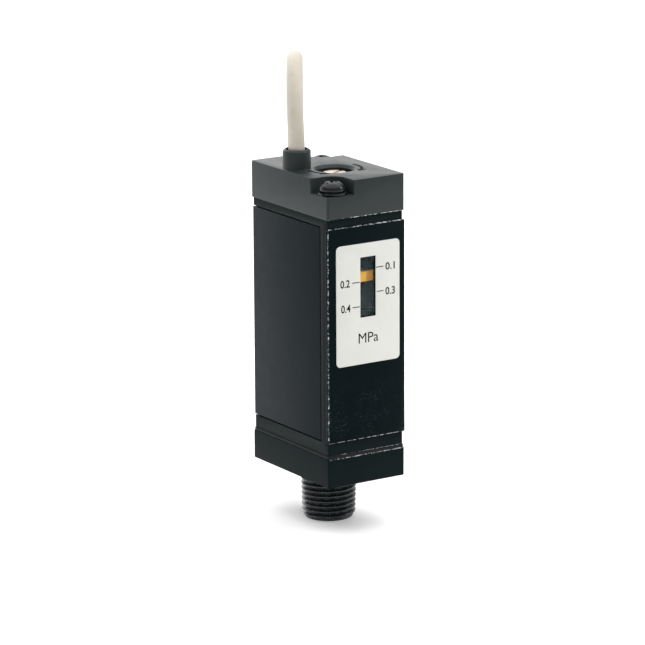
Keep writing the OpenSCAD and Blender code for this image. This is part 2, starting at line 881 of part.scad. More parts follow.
// Two blades whose tips overlap with a small gap, each ending in a lead that turns to the board
module reed_blades() {
    reach = reed_len / 2 + 0.6;
    blade_t = 0.16;
    blade_w = 0.7;
    half_gap = 0.04;
    blade_z = 1.6;
    stub = 0.8;
    color([0.8, 0.8, 0.82])
        for (end = [0, 1])
            translate([reed_x, reed_y, reed_z0 + end * reed_len])
                mirror([0, 0, end]) {
                    translate([0, 0, -stub])
                        cylinder(r = blade_r, h = 3, $fn = 24);
                    translate([-blade_w / 2, end == 0 ? -blade_t - half_gap : half_gap, blade_z])
                        cube([blade_w, blade_t, reach - blade_z]);
                    translate([0, 0, -stub])
                        rotate([-90, 0, 0])
                            cylinder(r = blade_r, h = board_y - reed_y, $fn = 24);
                }
}

module series_resistor() {
    body_r = 0.75;
    body_x = 0.4;
    body_len = 3.6;
    below_pads = 6;
    color([0.75, 0.65, 0.45])
        translate([body_x, board_y - body_r, pad_z - below_pads])
            rotate([0, 90, 0])
                cylinder(r = body_r, h = body_len);
}

module surge_suppressor() {
    body_x = [-4.9, -2.7];
    body_t = 1.2;
    below_pads = [8.4, 4.4];
    color([0.12, 0.12, 0.12])
        block(body_x, [board_y - body_t, board_y], [pad_z - below_pads[0], pad_z - below_pads[1]]);
}

module solder_joints() {
    joint_r = 0.75;
    tip_r = 0.3;
    joint_h = 0.7;
    color([0.8, 0.8, 0.8])
        for (x = pad_x)
            translate([x, board_y + board_t, pad_z])
                rotate([-90, 0, 0])
                    cylinder(r1 = joint_r, r2 = tip_r, h = joint_h);
}

// Free lead

module lead() {
    color([0.75, 0.72, 0.66])
        tube([for (p = lead_route) on_heading(p)], lead_r, 8, [cos(heading), -sin(heading), 0]);
}

module hank_plan(r) {
    for (y = [0, hank_run])
        translate([0, y])
            circle(r);
    translate([-r, 0])
        square([2 * r, hank_run]);
}

// The hank's own frame: its middle line runs along +Y from its near end, on the resting surface.
module on_hank() {
    translate([lead_x, lead_y, rest_z])
        rotate([0, 0, -heading])
            translate([hank_r - route_end[1], route_end[0], 0])
                children();
}

// The top layer stops on its right-hand run, where the jacket ends.
module lead_hank() {
    color([0.75, 0.72, 0.66])
        on_hank()
            difference() {
                linear_extrude(hank_h)
                    difference() {
                        hank_plan(hank_r + lead_r);
                        hank_plan(hank_r - lead_r);
                    }
                block([0, 2 * hank_r], [-2 * hank_r, jacket_end], [hank_h - hank_lane, hank_h + 1]);
            }
}

// A band round each long side of the hank
module hank_tie() {
    band_w = 3;
    band_t = 0.4;
    band_y = 0.45 * hank_run;
    x0 = hank_r - lead_r;
    x1 = hank_r + lead_r;
    color([0.15, 0.15, 0.15])
        on_hank()
            for (side = [0, 1])
                mirror([side, 0, 0])
                    translate([0, band_y, 0])
                        difference() {
                            block([x0 - band_t, x1 + band_t], [0, band_w], [0, hank_h + band_t]);
                            block([x0, x1], [-1, band_w + 1], [band_t, hank_h]);
                        }
}

// The two stripped conductors at the free end
module lead_ends() {
    core_r = 0.6 * conductor_r;
    color([0.45, 0.3, 0.2])
        on_hank()
            for (side = [-1, 1])
                translate([hank_r + side * end_shift, jacket_end, hank_h - lead_r])
                    rotate([90, 0, 0]) {
                        cylinder(r = conductor_r, h = bare_len);
                        cylinder(r = core_r, h = bare_len + tip_len);
                    }
}

port_block();
inlet_orifice();
base_gasket();
housing();
side_panel();
front_plate();
scale_label();
window_lens();
piston();
piston_seal();
magnet();
set_spring();
setting_nut();
pointer();
adjusting_screw();
retaining_ring();
thrust_washer();
shaft_seal();
top_cover();
case_screws();
lock_washers();
cable_grommet();
cord_clamp();
conductor_brown();
conductor_blue();
circuit_board();
reed_capsule();
reed_blades();
series_resistor();
surge_suppressor();
solder_joints();
lead();
lead_hank();
hank_tie();
lead_ends();
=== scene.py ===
from math import cos, pi, radians, sin, tau

import bmesh
import bpy
from mathutils import Matrix, Vector


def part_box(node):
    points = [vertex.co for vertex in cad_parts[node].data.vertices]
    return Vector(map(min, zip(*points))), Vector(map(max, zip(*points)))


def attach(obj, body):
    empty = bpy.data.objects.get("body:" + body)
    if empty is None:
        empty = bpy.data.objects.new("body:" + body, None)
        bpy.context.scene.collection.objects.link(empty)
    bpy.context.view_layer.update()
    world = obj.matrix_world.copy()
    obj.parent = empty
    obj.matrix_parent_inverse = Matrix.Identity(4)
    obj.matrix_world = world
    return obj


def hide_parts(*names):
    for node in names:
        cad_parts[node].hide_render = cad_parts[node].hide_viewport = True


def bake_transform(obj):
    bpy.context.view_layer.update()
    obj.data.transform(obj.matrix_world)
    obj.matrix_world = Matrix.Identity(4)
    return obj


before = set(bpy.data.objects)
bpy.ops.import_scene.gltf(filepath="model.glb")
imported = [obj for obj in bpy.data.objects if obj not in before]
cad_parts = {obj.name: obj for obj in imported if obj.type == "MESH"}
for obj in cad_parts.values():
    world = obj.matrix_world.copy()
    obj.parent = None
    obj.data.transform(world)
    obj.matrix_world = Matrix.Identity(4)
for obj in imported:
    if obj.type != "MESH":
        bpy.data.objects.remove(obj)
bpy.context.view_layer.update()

# Small pressure switch with a reed contact, a scale window and a male pipe thread.
# Shapes are worked out in millimetres in the row frame and turned into metres as a piece is made.
MM = 0.001


def node_box(node):
    """The low and the high corner of a CAD node's box."""
    low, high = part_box(node)
    return low / MM, high / MM


def node_middle(node):
    low, high = node_box(node)
    return (low + high) / 2


def node_round(node):
    """The radius and the low and high ends of a CAD node that is round about an upright axis."""
    low, high = node_box(node)
    return (high.x - low.x) / 2, low.z, high.z


# Places that are read from the frame, in millimetres
COVER_LOW, COVER_HIGH = node_box("top_cover")
HOUSING_LOW, HOUSING_HIGH = node_box("housing")
PLATE_LOW, PLATE_HIGH = node_box("front_plate")
GASKET_LOW, GASKET_HIGH = node_box("base_gasket")
BOARD_LOW, BOARD_HIGH = node_box("circuit_board")
SCREW_LOW, SCREW_HIGH = node_box("adjusting_screw")
FLOOR_Z = node_box("port_block")[0].z
LABEL_FACE = node_box("scale_label")[0].y
PAD_Z = node_middle("solder_joints").z
MECH = (SCREW_LOW + SCREW_HIGH) / 2
LEAD_AXIS = node_middle("cable_grommet")

# Sizes that the part's source gives too, in millimetres
THREAD_R, THREAD_PITCH = 4.86, 0.907
PORT_R, PASSAGE_R, ORIFICE_R = 2.2, 1.5, 0.4
SCREW_R, SCREW_PITCH, SCREW_HEAD_R, SCREW_HEAD_H = 1.5, 0.5, 2.05, 1.9
FLANGE_R, FLANGE_LOW, FLANGE_HIGH = 2.6, 40.2, 40.95
COVER_TOP = 52.8
CASE_SCREW_R, CASE_HEAD_R, WASHER_R = 1.25, 2.25, 2.5
PADS = (-4.7, -2.9)
CONDUCTOR_R = 0.45
LEAD_R = 1.4
LEAD_LOW = 47.4


# ---- camera

def make_camera():
    """The camera stands in front and to the left, a little above, with a long lens."""
    azimuth, elevation, roll = radians(-32.99), radians(14.01), radians(-0.32)
    distance, aim_z = 650.4, 26.68
    aim_right, aim_up = -0.906, -1.124
    back = Vector((sin(azimuth) * cos(elevation), -cos(azimuth) * cos(elevation), sin(elevation)))
    right = Vector((cos(azimuth), sin(azimuth), 0))
    up = back.cross(right)
    tilted_right = right * cos(roll) + up * sin(roll)
    tilted_up = up * cos(roll) - right * sin(roll)
    data = bpy.data.cameras.new("camera")
    data.sensor_width, data.lens = 36, 211.87
    data.clip_start, data.clip_end = 0.05, 50
    camera = bpy.data.objects.new("camera", data)
    place = Vector((0, 0, aim_z)) + back * distance + tilted_right * aim_right + tilted_up * aim_up
    turn = Matrix((tilted_right, tilted_up, back)).transposed().to_4x4()
    camera.matrix_world = Matrix.Translation(place * MM) @ turn
    bpy.context.scene.collection.objects.link(camera)
    bpy.context.scene.camera = camera


# ---- materials

class Shader:
    """A material's node tree around one Principled shader, with coordinates in millimetres."""

    def __init__(self, name):
        self.material = bpy.data.materials.new(name)
        self.material.use_nodes = True
        self.tree = self.material.node_tree
        self.bsdf = self.tree.nodes["Principled BSDF"]
        coordinates = self.node("ShaderNodeTexCoord")
        self.position = self.scaled(coordinates.outputs["Object"], (1 / MM,) * 3)

    def node(self, kind, **settings):
        made = self.tree.nodes.new(kind)
        for key, value in settings.items():
            setattr(made, key, value)
        return made

    def link(self, source, target):
        self.tree.links.new(source, target)

    def set(self, **values):
        for key, value in values.items():
            self.bsdf.inputs[key.replace("_", " ")].default_value = value

    def scaled(self, source, scale):
        mapping = self.node("ShaderNodeMapping")
        mapping.inputs["Scale"].default_value = scale
        self.link(source, mapping.inputs["Vector"])
        return mapping.outputs["Vector"]

    def noise(self, size, detail=3, stretch=(1, 1, 1), roughness=0.5):
        """Noise whose blotches are about size millimetres across, from 0 to 1."""
        texture = self.node("ShaderNodeTexNoise")
        texture.inputs["Scale"].default_value = 1 / size
        texture.inputs["Detail"].default_value = detail
        texture.inputs["Roughness"].default_value = roughness
        self.link(self.scaled(self.position, stretch), texture.inputs["Vector"])
        return texture.outputs["Fac"]

    def wave(self, size, axis, distortion):
        """Parallel bands, from 0 to 1."""
        texture = self.node("ShaderNodeTexWave", bands_direction=axis)
        texture.inputs["Scale"].default_value = 1 / size
        texture.inputs["Distortion"].default_value = distortion
        self.link(self.position, texture.inputs["Vector"])
        return texture.outputs["Fac"]

    def spread(self, source, **limits):
        mapped = self.node("ShaderNodeMapRange")
        for name, value in limits.items():
            mapped.inputs[name.replace("_", " ")].default_value = value
        self.link(source, mapped.inputs["Value"])
        return mapped.outputs["Result"]

    def ramp(self, source, low, high):
        """0 below low, 1 above high."""
        return self.spread(source, From_Min=low, From_Max=high)

    def span(self, source, low, high):
        """source from 0 to 1, spread from low to high."""
        return self.spread(source, To_Min=low, To_Max=high)

    def math(self, operation, first, second):
        """The result for two values, each of them a number or an output."""
        made = self.node("ShaderNodeMath", operation=operation)
        for value, socket in zip((first, second), made.inputs):
            if isinstance(value, (int, float)):
                socket.default_value = value
            else:
                self.link(value, socket)
        return made.outputs[0]

    def mix(self, factor, first, second):
        """Colour first where factor is 0 and second where it is 1."""
        made = self.node("ShaderNodeMix", data_type="RGBA")
        for value, socket in ((factor, "Factor_Float"), (first, "A_Color"), (second, "B_Color")):
            target = next(s for s in made.inputs if s.identifier == socket)
            if isinstance(value, tuple):
                target.default_value = (*value, 1)
            else:
                self.link(value, target)
        return next(s for s in made.outputs if s.identifier == "Result_Color")

    def axis(self, letter):
        """The place along X, Y or Z, in millimetres."""
        split = self.node("ShaderNodeSeparateXYZ")
        self.link(self.position, split.inputs[0])
        return split.outputs[letter]

    def below(self, low, high):
        """1 at heights under low, 0 over high."""
        return self.math("SUBTRACT", 1.0, self.ramp(self.axis("Z"), low, high))

    def colour(self, source):
        self.link(source, self.bsdf.inputs["Base Color"])

    def rough(self, source):
        self.link(source, self.bsdf.inputs["Roughness"])

    def bump(self, *layers):
        """Each layer is a height from 0 to 1 and how many millimetres it stands for."""
        normal = None
        for height, depth in layers:
            made = self.node("ShaderNodeBump")
            made.inputs["Strength"].default_value = 1
            made.inputs["Distance"].default_value = depth * MM
            self.link(height, made.inputs["Height"])
            if normal:
                self.link(normal, made.inputs["Normal"])
            normal = made.outputs["Normal"]
        self.link(normal, self.bsdf.inputs["Normal"])


def moulded(s, dark, light, rough, blotch, specular=0.5, grain=0.12, depth=0.004):
    """Moulded plastic or rubber: a fine grain, slow changes of colour and a few finer marks."""
    s.colour(s.mix(s.noise(blotch), dark, light))
    s.rough(s.span(s.noise(blotch / 4, 4), *rough))
    s.bump((s.noise(grain, 2), depth), (s.noise(blotch / 2, 2), depth * 2))
    s.set(Specular_IOR_Level=specular)


def metal(s, dark, light, rough, stretch=(1, 1, 1), grain=0.08, depth=0.002):
    """Drawn, turned or plated metal: fine lines along one direction and light stains."""
    s.colour(s.mix(s.noise(0.9, 5), dark, light))
    lines = s.noise(grain, 3, stretch)
    s.rough(s.span(lines, *rough))
    s.bump((lines, depth))
    s.set(Metallic=1.0)


# Dark and light colour, least and most roughness, size of the blotches, specular level, and the size and
# the depth of the grain
MOULDED = {
    "body_black": ((0.0020, 0.0058, 0.0068), (0.0032, 0.0086, 0.0100), (0.36, 0.5), 5, 0.05, 0.16, 0.006),
    "cover_black": ((0.0130, 0.0182, 0.0186), (0.0205, 0.0268, 0.0272), (0.34, 0.46), 4, 0.24, 0.2, 0.008),
    "panel_black": ((0.0050, 0.0092, 0.0116), (0.0072, 0.0122, 0.0148), (0.42, 0.56), 7, 0.07, 0.16),
    "print_black": ((0.006, 0.007, 0.008), (0.013, 0.014, 0.015), (0.7, 0.85), 0.8, 0.08, 0.08, 0.003),
    "rubber_black": ((0.005, 0.006, 0.007), (0.012, 0.013, 0.014), (0.5, 0.68), 1.2, 0.15, 0.1, 0.006),
    "screw_black": ((0.005, 0.007, 0.008), (0.012, 0.015, 0.016), (0.10, 0.20), 1.4, 0.22, 0.25),
    "nut_grey": ((0.46, 0.46, 0.43), (0.62, 0.62, 0.585), (0.4, 0.56), 1.5),
    "component_tan": ((0.42, 0.30, 0.16), (0.56, 0.43, 0.26), (0.28, 0.42), 0.8),
    "component_black": ((0.010, 0.010, 0.011), (0.022, 0.022, 0.023), (0.42, 0.58), 1),
    "wire_brown": ((0.14, 0.055, 0.022), (0.21, 0.088, 0.038), (0.36, 0.5), 1),
    "wire_blue": ((0.025, 0.075, 0.26), (0.045, 0.115, 0.36), (0.36, 0.5), 1),
}
# The resistor's bands, with a darker shade for the blotches
BAND_COLOURS = ((0.45, 0.05, 0.02), (0.02, 0.02, 0.02), (0.30, 0.10, 0.02), (0.55, 0.38, 0.08))
for i, colour in enumerate(BAND_COLOURS):
    MOULDED[f"band_{i}"] = (tuple(c * 0.8 for c in colour), colour, (0.3, 0.42), 0.6)

# Dark and light colour, least and most roughness, stretch, size and depth of the lines
METAL = {
    "brass": ((0.50, 0.34, 0.13), (0.74, 0.55, 0.26), (0.2, 0.42), (1, 1, 9)),
    "spring_steel": ((0.38, 0.38, 0.39), (0.62, 0.62, 0.63), (0.18, 0.36), (1, 1, 5)),
    "screw_nickel": ((0.62, 0.50, 0.38), (0.93, 0.84, 0.72), (0.22, 0.46), (1, 4, 1), 0.08, 0.004),
    "magnet_grey": ((0.20, 0.205, 0.21), (0.36, 0.365, 0.37), (0.3, 0.5)),
    "solder_silver": ((0.56, 0.56, 0.57), (0.78, 0.78, 0.79), (0.16, 0.4), (1, 1, 1), 0.2, 0.01),
    "copper_tinned": ((0.60, 0.50, 0.42), (0.80, 0.76, 0.70), (0.2, 0.38)),
}


def thread_black(s):
    """The pipe thread: the same black, with painted glints: pale spots on its crests, most near the end."""
    # Painted highlight: pale glint spots, with more of them near the thread's end.
    glint_spots = s.ramp(s.noise(0.5, 5, (1, 1, 1), 0.65), 0.56, 0.74)
    painted_glints = s.math("MULTIPLY", glint_spots, s.span(s.below(-8.6, -5.5), 0.25, 1.0))
    s.colour(s.mix(painted_glints, (0.0045, 0.0085, 0.0095), (0.16, 0.175, 0.18)))
    s.rough(s.span(s.noise(0.35, 4), 0.14, 0.4))
    s.bump((s.noise(0.3, 4), 0.035))


def worn_and_highlit_edge(s):
    """The corners of the black parts, pale grey in places: partly a chipped finish, partly a painted
    highlight where the edges catch the light.
    """
    # Painted highlight: more of the pale edge towards +X, where the edges catch more light.
    highlight_side = s.span(s.ramp(s.axis("X"), -7, 6), 0.0, 0.055)
    chips_and_highlights = s.ramp(s.math("ADD", s.noise(0.7, 6, (1, 1, 1), 0.72), highlight_side), 0.5, 0.6)
    s.colour(s.mix(chips_and_highlights, (0.007, 0.011, 0.012), (0.50, 0.51, 0.50)))
    s.rough(s.span(chips_and_highlights, 0.4, 0.75))
    s.bump((s.noise(0.25, 4), 0.03))
    s.set(Specular_IOR_Level=0.12)


def plate_gloss(s):
    """Glossy dark plate, with haze and fine scratches on its lower part."""
    scuffs = s.ramp(s.noise(0.5, 6, (1, 1, 1.6), 0.65), 0.52, 0.78)
    patches = s.math("MULTIPLY", s.below(13.0, 19.0), s.ramp(s.noise(2.2, 2), 0.4, 0.65))
    haze = s.math("MULTIPLY", scuffs, patches)
    s.colour(s.mix(haze, (0.0014, 0.0054, 0.0065), (0.050, 0.064, 0.068)))
    s.rough(s.math("ADD", s.span(s.noise(1.5, 4), 0.10, 0.17), s.math("MULTIPLY", haze, 0.4)))
    s.bump((s.noise(6.0, 2), 0.02), (s.noise(0.3, 3), 0.0012))
    s.set(Specular_IOR_Level=0.03)


def label_white(s):
    """A painted label, slightly uneven."""
    s.colour(s.mix(s.noise(4.0, 3), (0.585, 0.59, 0.548), (0.655, 0.66, 0.622)))
    s.rough(s.span(s.noise(0.5, 4), 0.42, 0.55))
    s.bump((s.noise(0.12, 2), 0.002), (s.noise(3.0, 2), 0.006))
    s.set(Specular_IOR_Level=0.4)


def window_tint(s):
    """Clear plastic, dusty towards its lower end."""
    speckle = s.ramp(s.noise(0.5, 6, (1.4, 1, 0.7), 0.7), 0.42, 0.7)
    dust = s.math("MULTIPLY", speckle, s.span(s.below(30.5, 34.5), 0.08, 1.0))
    s.colour(s.mix(dust, (0.24, 0.33, 0.35), (0.30, 0.38, 0.41)))
    s.link(s.span(dust, 0.06, 0.16), s.bsdf.inputs["Alpha"])
    s.rough(s.span(dust, 0.06, 0.35))
    s.bump((s.noise(1.2, 3), 0.006))
    s.set(IOR=1.49, Specular_IOR_Level=0.3)


def pointer_orange(s):
    """Fluorescent orange, bright left of the pointer's ridge and with a painted shade right of it; its
    emission is a painted glow.
    """
    # Painted shade: darker orange right of the ridge, where less light falls.
    shaded_right = s.ramp(s.axis("X"), 1.15, 1.25)
    bright = s.mix(s.noise(1.0), (1.0, 0.52, 0.035), (1.0, 0.60, 0.050))
    shaded_orange = s.mix(s.noise(0.5, 4), (0.60, 0.29, 0.030), (0.74, 0.38, 0.045))
    s.colour(s.mix(shaded_right, bright, shaded_orange))
    s.rough(s.span(s.noise(0.5, 3), 0.3, 0.48))
    s.bump((s.noise(0.12, 2), 0.004))
    # Painted glow: emission that makes the orange brighter than the lamps alone would.
    s.set(Emission_Color=(1.0, 0.42, 0.02, 1), Emission_Strength=0.2)


def board_green(s):
    """Solder mask over woven glass laminate."""
    weave = s.math("MULTIPLY", s.wave(0.35, "X", 0.4), s.wave(0.35, "Z", 0.4))
    s.colour(s.mix(weave, (0.012, 0.11, 0.045), (0.028, 0.19, 0.075)))
    s.rough(s.span(s.noise(1.2, 3), 0.22, 0.36))
    s.bump((weave, 0.006), (s.noise(0.2, 2), 0.003))
    s.set(Coat_Weight=0.3)


def reed_glass(s):
    """Thin greenish glass."""
    s.colour(s.mix(s.noise(1.0, 2), (0.50, 0.72, 0.60), (0.66, 0.84, 0.74)))
    s.link(s.span(s.noise(2.0, 2), 0.26, 0.36), s.bsdf.inputs["Alpha"])
    s.rough(s.span(s.noise(0.8, 2), 0.02, 0.08))
    s.set(IOR=1.5)


def lead_grey(s):
    """Extruded jacket, with a faint lengthwise grain and handling marks."""
    marks = s.ramp(s.noise(1.6, 5, (1, 1, 0.5), 0.6), 0.55, 0.75)
    base = s.mix(s.noise(3.5, 3), (0.46, 0.42, 0.35), (0.57, 0.535, 0.455))
    s.colour(s.mix(s.math("MULTIPLY", marks, 0.35), base, (0.36, 0.32, 0.26)))
    s.rough(s.span(s.noise(0.6, 4), 0.42, 0.58))
    s.bump((s.noise(0.1, 2, (1, 1, 0.2)), 0.006), (s.noise(2.4, 2), 0.02))
    s.set(Specular_IOR_Level=0.4, Subsurface_Weight=0.08, Subsurface_Radius=(0.0008, 0.0006, 0.0004))


def floor_white(s):
    """A pale studio floor that is brightened a little, to come out white."""
    s.colour(s.mix(s.noise(60, 3), (0.86, 0.86, 0.86), (0.875, 0.875, 0.875)))
    s.rough(s.span(s.noise(20, 3), 0.85, 0.95))
    s.set(Specular_IOR_Level=0.1, Emission_Color=(1, 1, 1, 1), Emission_Strength=0.16)


SPECIAL = {f.__name__: f for f in (thread_black, worn_and_highlit_edge, plate_gloss, label_white, window_tint,
                                   pointer_orange, board_green, reed_glass, lead_grey, floor_white)}
made_materials = {}


def material(name):
    """The material of that name, made when it's first asked for."""
    if name not in made_materials:
        shader = Shader(name)
        if name in MOULDED:
            moulded(shader, *MOULDED[name])
        elif name in METAL:
            metal(shader, *METAL[name])
        else:
            SPECIAL[name](shader)
        made_materials[name] = shader.material
    return made_materials[name]


# ---- mesh tools, all in millimetres

def from_cad(node):
    """A CAD node's mesh with its split corners joined and its flat faces made whole."""
    bm = bmesh.new()
    bm.from_mesh(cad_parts[node].data)
    bmesh.ops.scale(bm, vec=(1 / MM,) * 3, verts=bm.verts)
    bmesh.ops.remove_doubles(bm, verts=bm.verts, dist=0.002)
    bmesh.ops.dissolve_limit(bm, angle_limit=radians(0.6), verts=bm.verts, edges=bm.edges)
    return bm


def block(low, high):
    """A box from its low to its high corner."""
    bm = bmesh.new()
    bmesh.ops.create_cube(bm, size=1)
    low, high = Vector(low), Vector(high)
    size = high - low
    bmesh.ops.transform(bm, matrix=Matrix.Translation((low + high) / 2) @ Matrix.Diagonal((*size, 1)),
                        verts=bm.verts)
    return bm


def lathe(profile, steps=64, closed=False):
    """Turns a list of (radius, height) about Z. A radius of 0 is a point on the axis."""
    bm = bmesh.new()
    rings = []
    for radius, height in profile:
        count = steps if radius > 1e-6 else 1
        rings.append([bm.verts.new((radius * cos(tau * k / steps), radius * sin(tau * k / steps), height))
                      for k in range(count)])
    pairs = list(zip(rings, rings[1:]))
    if closed:
        pairs.append((rings[-1], rings[0]))
    for first, second in pairs:
        for k in range(steps):
            m = (k + 1) % steps
            corners = [first[k % len(first)], first[m % len(first)],
                       second[m % len(second)], second[k % len(second)]]
            corners = list(dict.fromkeys(corners))
            if len(corners) > 2:
                bm.faces.new(corners)
    bmesh.ops.recalc_face_normals(bm, faces=bm.faces)
    return bm


def rounded(profile, radius, steps):
    """The closed outline with each corner turned into an arc of about that radius."""
    points = [Vector(p) for p in profile]
    out = []
    for i, here in enumerate(points):
        before, after = points[i - 1], points[(i + 1) % len(points)]
        reach = min(radius, (here - before).length * 0.45, (after - here).length * 0.45)
        start = here + (before - here).normalized() * reach
        end = here + (after - here).normalized() * reach
        for k in range(steps + 1):
            t = k / steps
            out.append(start.lerp(here, t).lerp(here.lerp(end, t), t))
    return [tuple(p) for p in out]


def smooth_route(points, pieces):
    """Points on a smooth curve through the given ones, pieces to each stretch."""
    points = [Vector(p) for p in points]
    ends = [2 * points[0] - points[1]] + points + [2 * points[-1] - points[-2]]
    out = []
    for i in range(len(points) - 1):
        a, b, c, d = ends[i:i + 4]
        for k in range(pieces):
            t = k / pieces
            out.append(0.5 * (2 * b + (c - a) * t + (2 * a - 5 * b + 4 * c - d) * t * t
                              + (3 * b - a - 3 * c + d) * t ** 3))
    return out + [points[-1]]


def skinned(bm, rings, looped=False):
    """Faces from each ring of corners to the next, and back to the first if looped; if not, end caps."""
    pairs = list(zip(rings, rings[1:]))
    if looped:
        pairs.append((rings[-1], rings[0]))
    else:
        bm.faces.new(rings[0][::-1])
        bm.faces.new(rings[-1])
    for first, second in pairs:
        for k in range(len(first)):
            m = (k + 1) % len(first)
            bm.faces.new((first[k], first[m], second[m], second[k]))
    bmesh.ops.recalc_face_normals(bm, faces=bm.faces)
    return bm


def raised(corners, lift):
    """A flat plate: the outline of the corners, and the same outline lifted."""
    bm = bmesh.new()
    face = bm.faces.new([bm.verts.new(corner) for corner in corners])
    top = bmesh.ops.extrude_face_region(bm, geom=[face])["geom"]
    bmesh.ops.translate(bm, vec=lift, verts=[v for v in top if isinstance(v, bmesh.types.BMVert)])
    bmesh.ops.recalc_face_normals(bm, faces=bm.faces)
    return bm


def tube(points, radius, sides=20, round_ends=True):
    """A round tube along the points, with its end edges rounded off or cut square."""
    points = [Vector(p) for p in points]
    last = len(points) - 1
    tangents = [(points[min(i + 1, last)] - points[max(i - 1, 0)]).normalized() for i in range(last + 1)]
    # Each ring: the point it belongs to, how far it lies beyond that point, and its radius
    rings_at = [(i, 0, radius) for i in range(last + 1)]
    if round_ends:
        lip, half_lip = radius * 0.25, radius * 0.075
        rings_at = [(0, 0, radius - lip), (0, half_lip, radius - half_lip), (0, lip, radius)] + rings_at[1:-1]
        rings_at += [(last, -lip, radius), (last, -half_lip, radius - half_lip), (last, 0, radius - lip)]
    side = tangents[0].orthogonal().normalized()
    bm = bmesh.new()
    rings = []
    for i, beyond, r in rings_at:
        tangent = tangents[i]
        side = (side - side.dot(tangent) * tangent).normalized()
        across = tangent.cross(side)
        centre = points[i] + tangent * beyond
        rings.append([bm.verts.new(centre + r * (cos(tau * k / sides) * side + sin(tau * k / sides) * across))
                      for k in range(sides)])
    return skinned(bm, rings)


def bevelled(bm, width, segments=2, angle=28, choose=None, finish=-1):
    """Rounds the edges that are sharper than angle, or those of them that choose(edge) accepts."""
    edges = [e for e in bm.edges if len(e.link_faces) == 2 and e.calc_face_angle(0) > radians(angle)
             and (choose is None or choose(e))]
    bmesh.ops.bevel(bm, geom=edges, offset=width, offset_type="OFFSET", segments=segments, profile=0.5,
                    affect="EDGES", clamp_overlap=False, material=finish)
    return bm


def moved(bm, matrix):
    """The mesh, moved by a matrix."""
    bmesh.ops.transform(bm, matrix=matrix, verts=bm.verts)
    return bm


def shifted(bm, x, y, z=0):
    return moved(bm, Matrix.Translation((x, y, z)))


def joined(*parts):
    """Several meshes as one."""
    whole = bmesh.new()
    for part in parts:
        mesh = bpy.data.meshes.new("part")
        part.to_mesh(mesh)
        part.free()
        whole.from_mesh(mesh)
        bpy.data.meshes.remove(mesh)
    return whole


def combined(first, second, operation):
    """first and second united ("UNION"), shared ("INTERSECT"), or second cut from first ("DIFFERENCE")."""
    objects = []
    for bm in (first, second):
        mesh = bpy.data.meshes.new("solid")
        bmesh.ops.recalc_face_normals(bm, faces=bm.faces)
        bm.to_mesh(mesh)
        bm.free()
        solid = bpy.data.objects.new("solid", mesh)
        bpy.context.scene.collection.objects.link(solid)
        objects.append(solid)
    modifier = objects[0].modifiers.new("cut", "BOOLEAN")
    modifier.operation, modifier.solver, modifier.object = operation, "EXACT", objects[1]
    graph = bpy.context.evaluated_depsgraph_get()
    result = bmesh.new()
    result.from_mesh(objects[0].evaluated_get(graph).data)
    for solid in objects:
        mesh = solid.data
        bpy.data.objects.remove(solid)
        bpy.data.meshes.remove(mesh)
    bmesh.ops.remove_doubles(result, verts=result.verts, dist=0.0005)
    bmesh.ops.dissolve_limit(result, angle_limit=radians(0.6), verts=result.verts, edges=result.edges)
    return result


def piece(name, bm, finish, replaces=(), body="case", second=None, smooth=32):
    """Turns a mesh in millimetres into a named piece that rides on a body."""
    bmesh.ops.scale(bm, vec=(MM,) * 3, verts=bm.verts)
    mesh = bpy.data.meshes.new(name)
    bm.to_mesh(mesh)
    bm.free()
    mesh.materials.append(material(finish))
    if second:
        mesh.materials.append(material(second))
    mesh.shade_smooth()
    mesh.set_sharp_from_angle(angle=radians(smooth))
    made = bpy.data.objects.new(name, mesh)
    bpy.context.scene.collection.objects.link(made)
    if body:
        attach(made, body)
    if replaces:
        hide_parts(*replaces)
    return made


def bare_wire(name, points, radius=0.2):
    piece(name, tube(points, radius, 12), "copper_tinned", smooth=60)


def on_skin(low, high):
    """Accepts the edges that lie on the faces of a box."""
    return lambda edge: any(all(abs(v.co[i] - corner[i]) < 0.02 for v in edge.verts)
                            for corner in (low, high) for i in range(3))


def on_line(**place):
    """Accepts the edges that lie at the given x, y or z."""
    wanted = [("xyz".index(axis), value) for axis, value in place.items()]
    return lambda edge: all(abs(v.co[i] - value) < 0.06 for v in edge.verts for i, value in wanted)


def any_of(*tests):
    """Accepts the edges that one of the tests accepts."""
    return lambda edge: any(test(edge) for test in tests)


def unworn_and_highlit(edge):
    return all(face.material_index == 0 for face in edge.link_faces)


def refined(node, finish, body="case", width=0.1, segments=2, worn_and_highlit=None, worn_and_highlit_width=0.1, smooth=32, angle=28,
            choose=None):
    """A CAD node's own shape with its edges rounded; the edges that the worn-and-highlight chooser accepts
    get the pale edge finish, partly chipped and partly painted highlight.
    """
    bm = from_cad(node)
    if worn_and_highlit:
        bevelled(bm, worn_and_highlit_width, 2, angle, worn_and_highlit, 1)
    bevelled(bm, width, segments, angle, lambda e: (choose is None or choose(e)) and unworn_and_highlit(e))
    return piece(node + "_skin", bm, finish, (node,), body, "worn_and_highlit_edge" if worn_and_highlit else None, smooth)


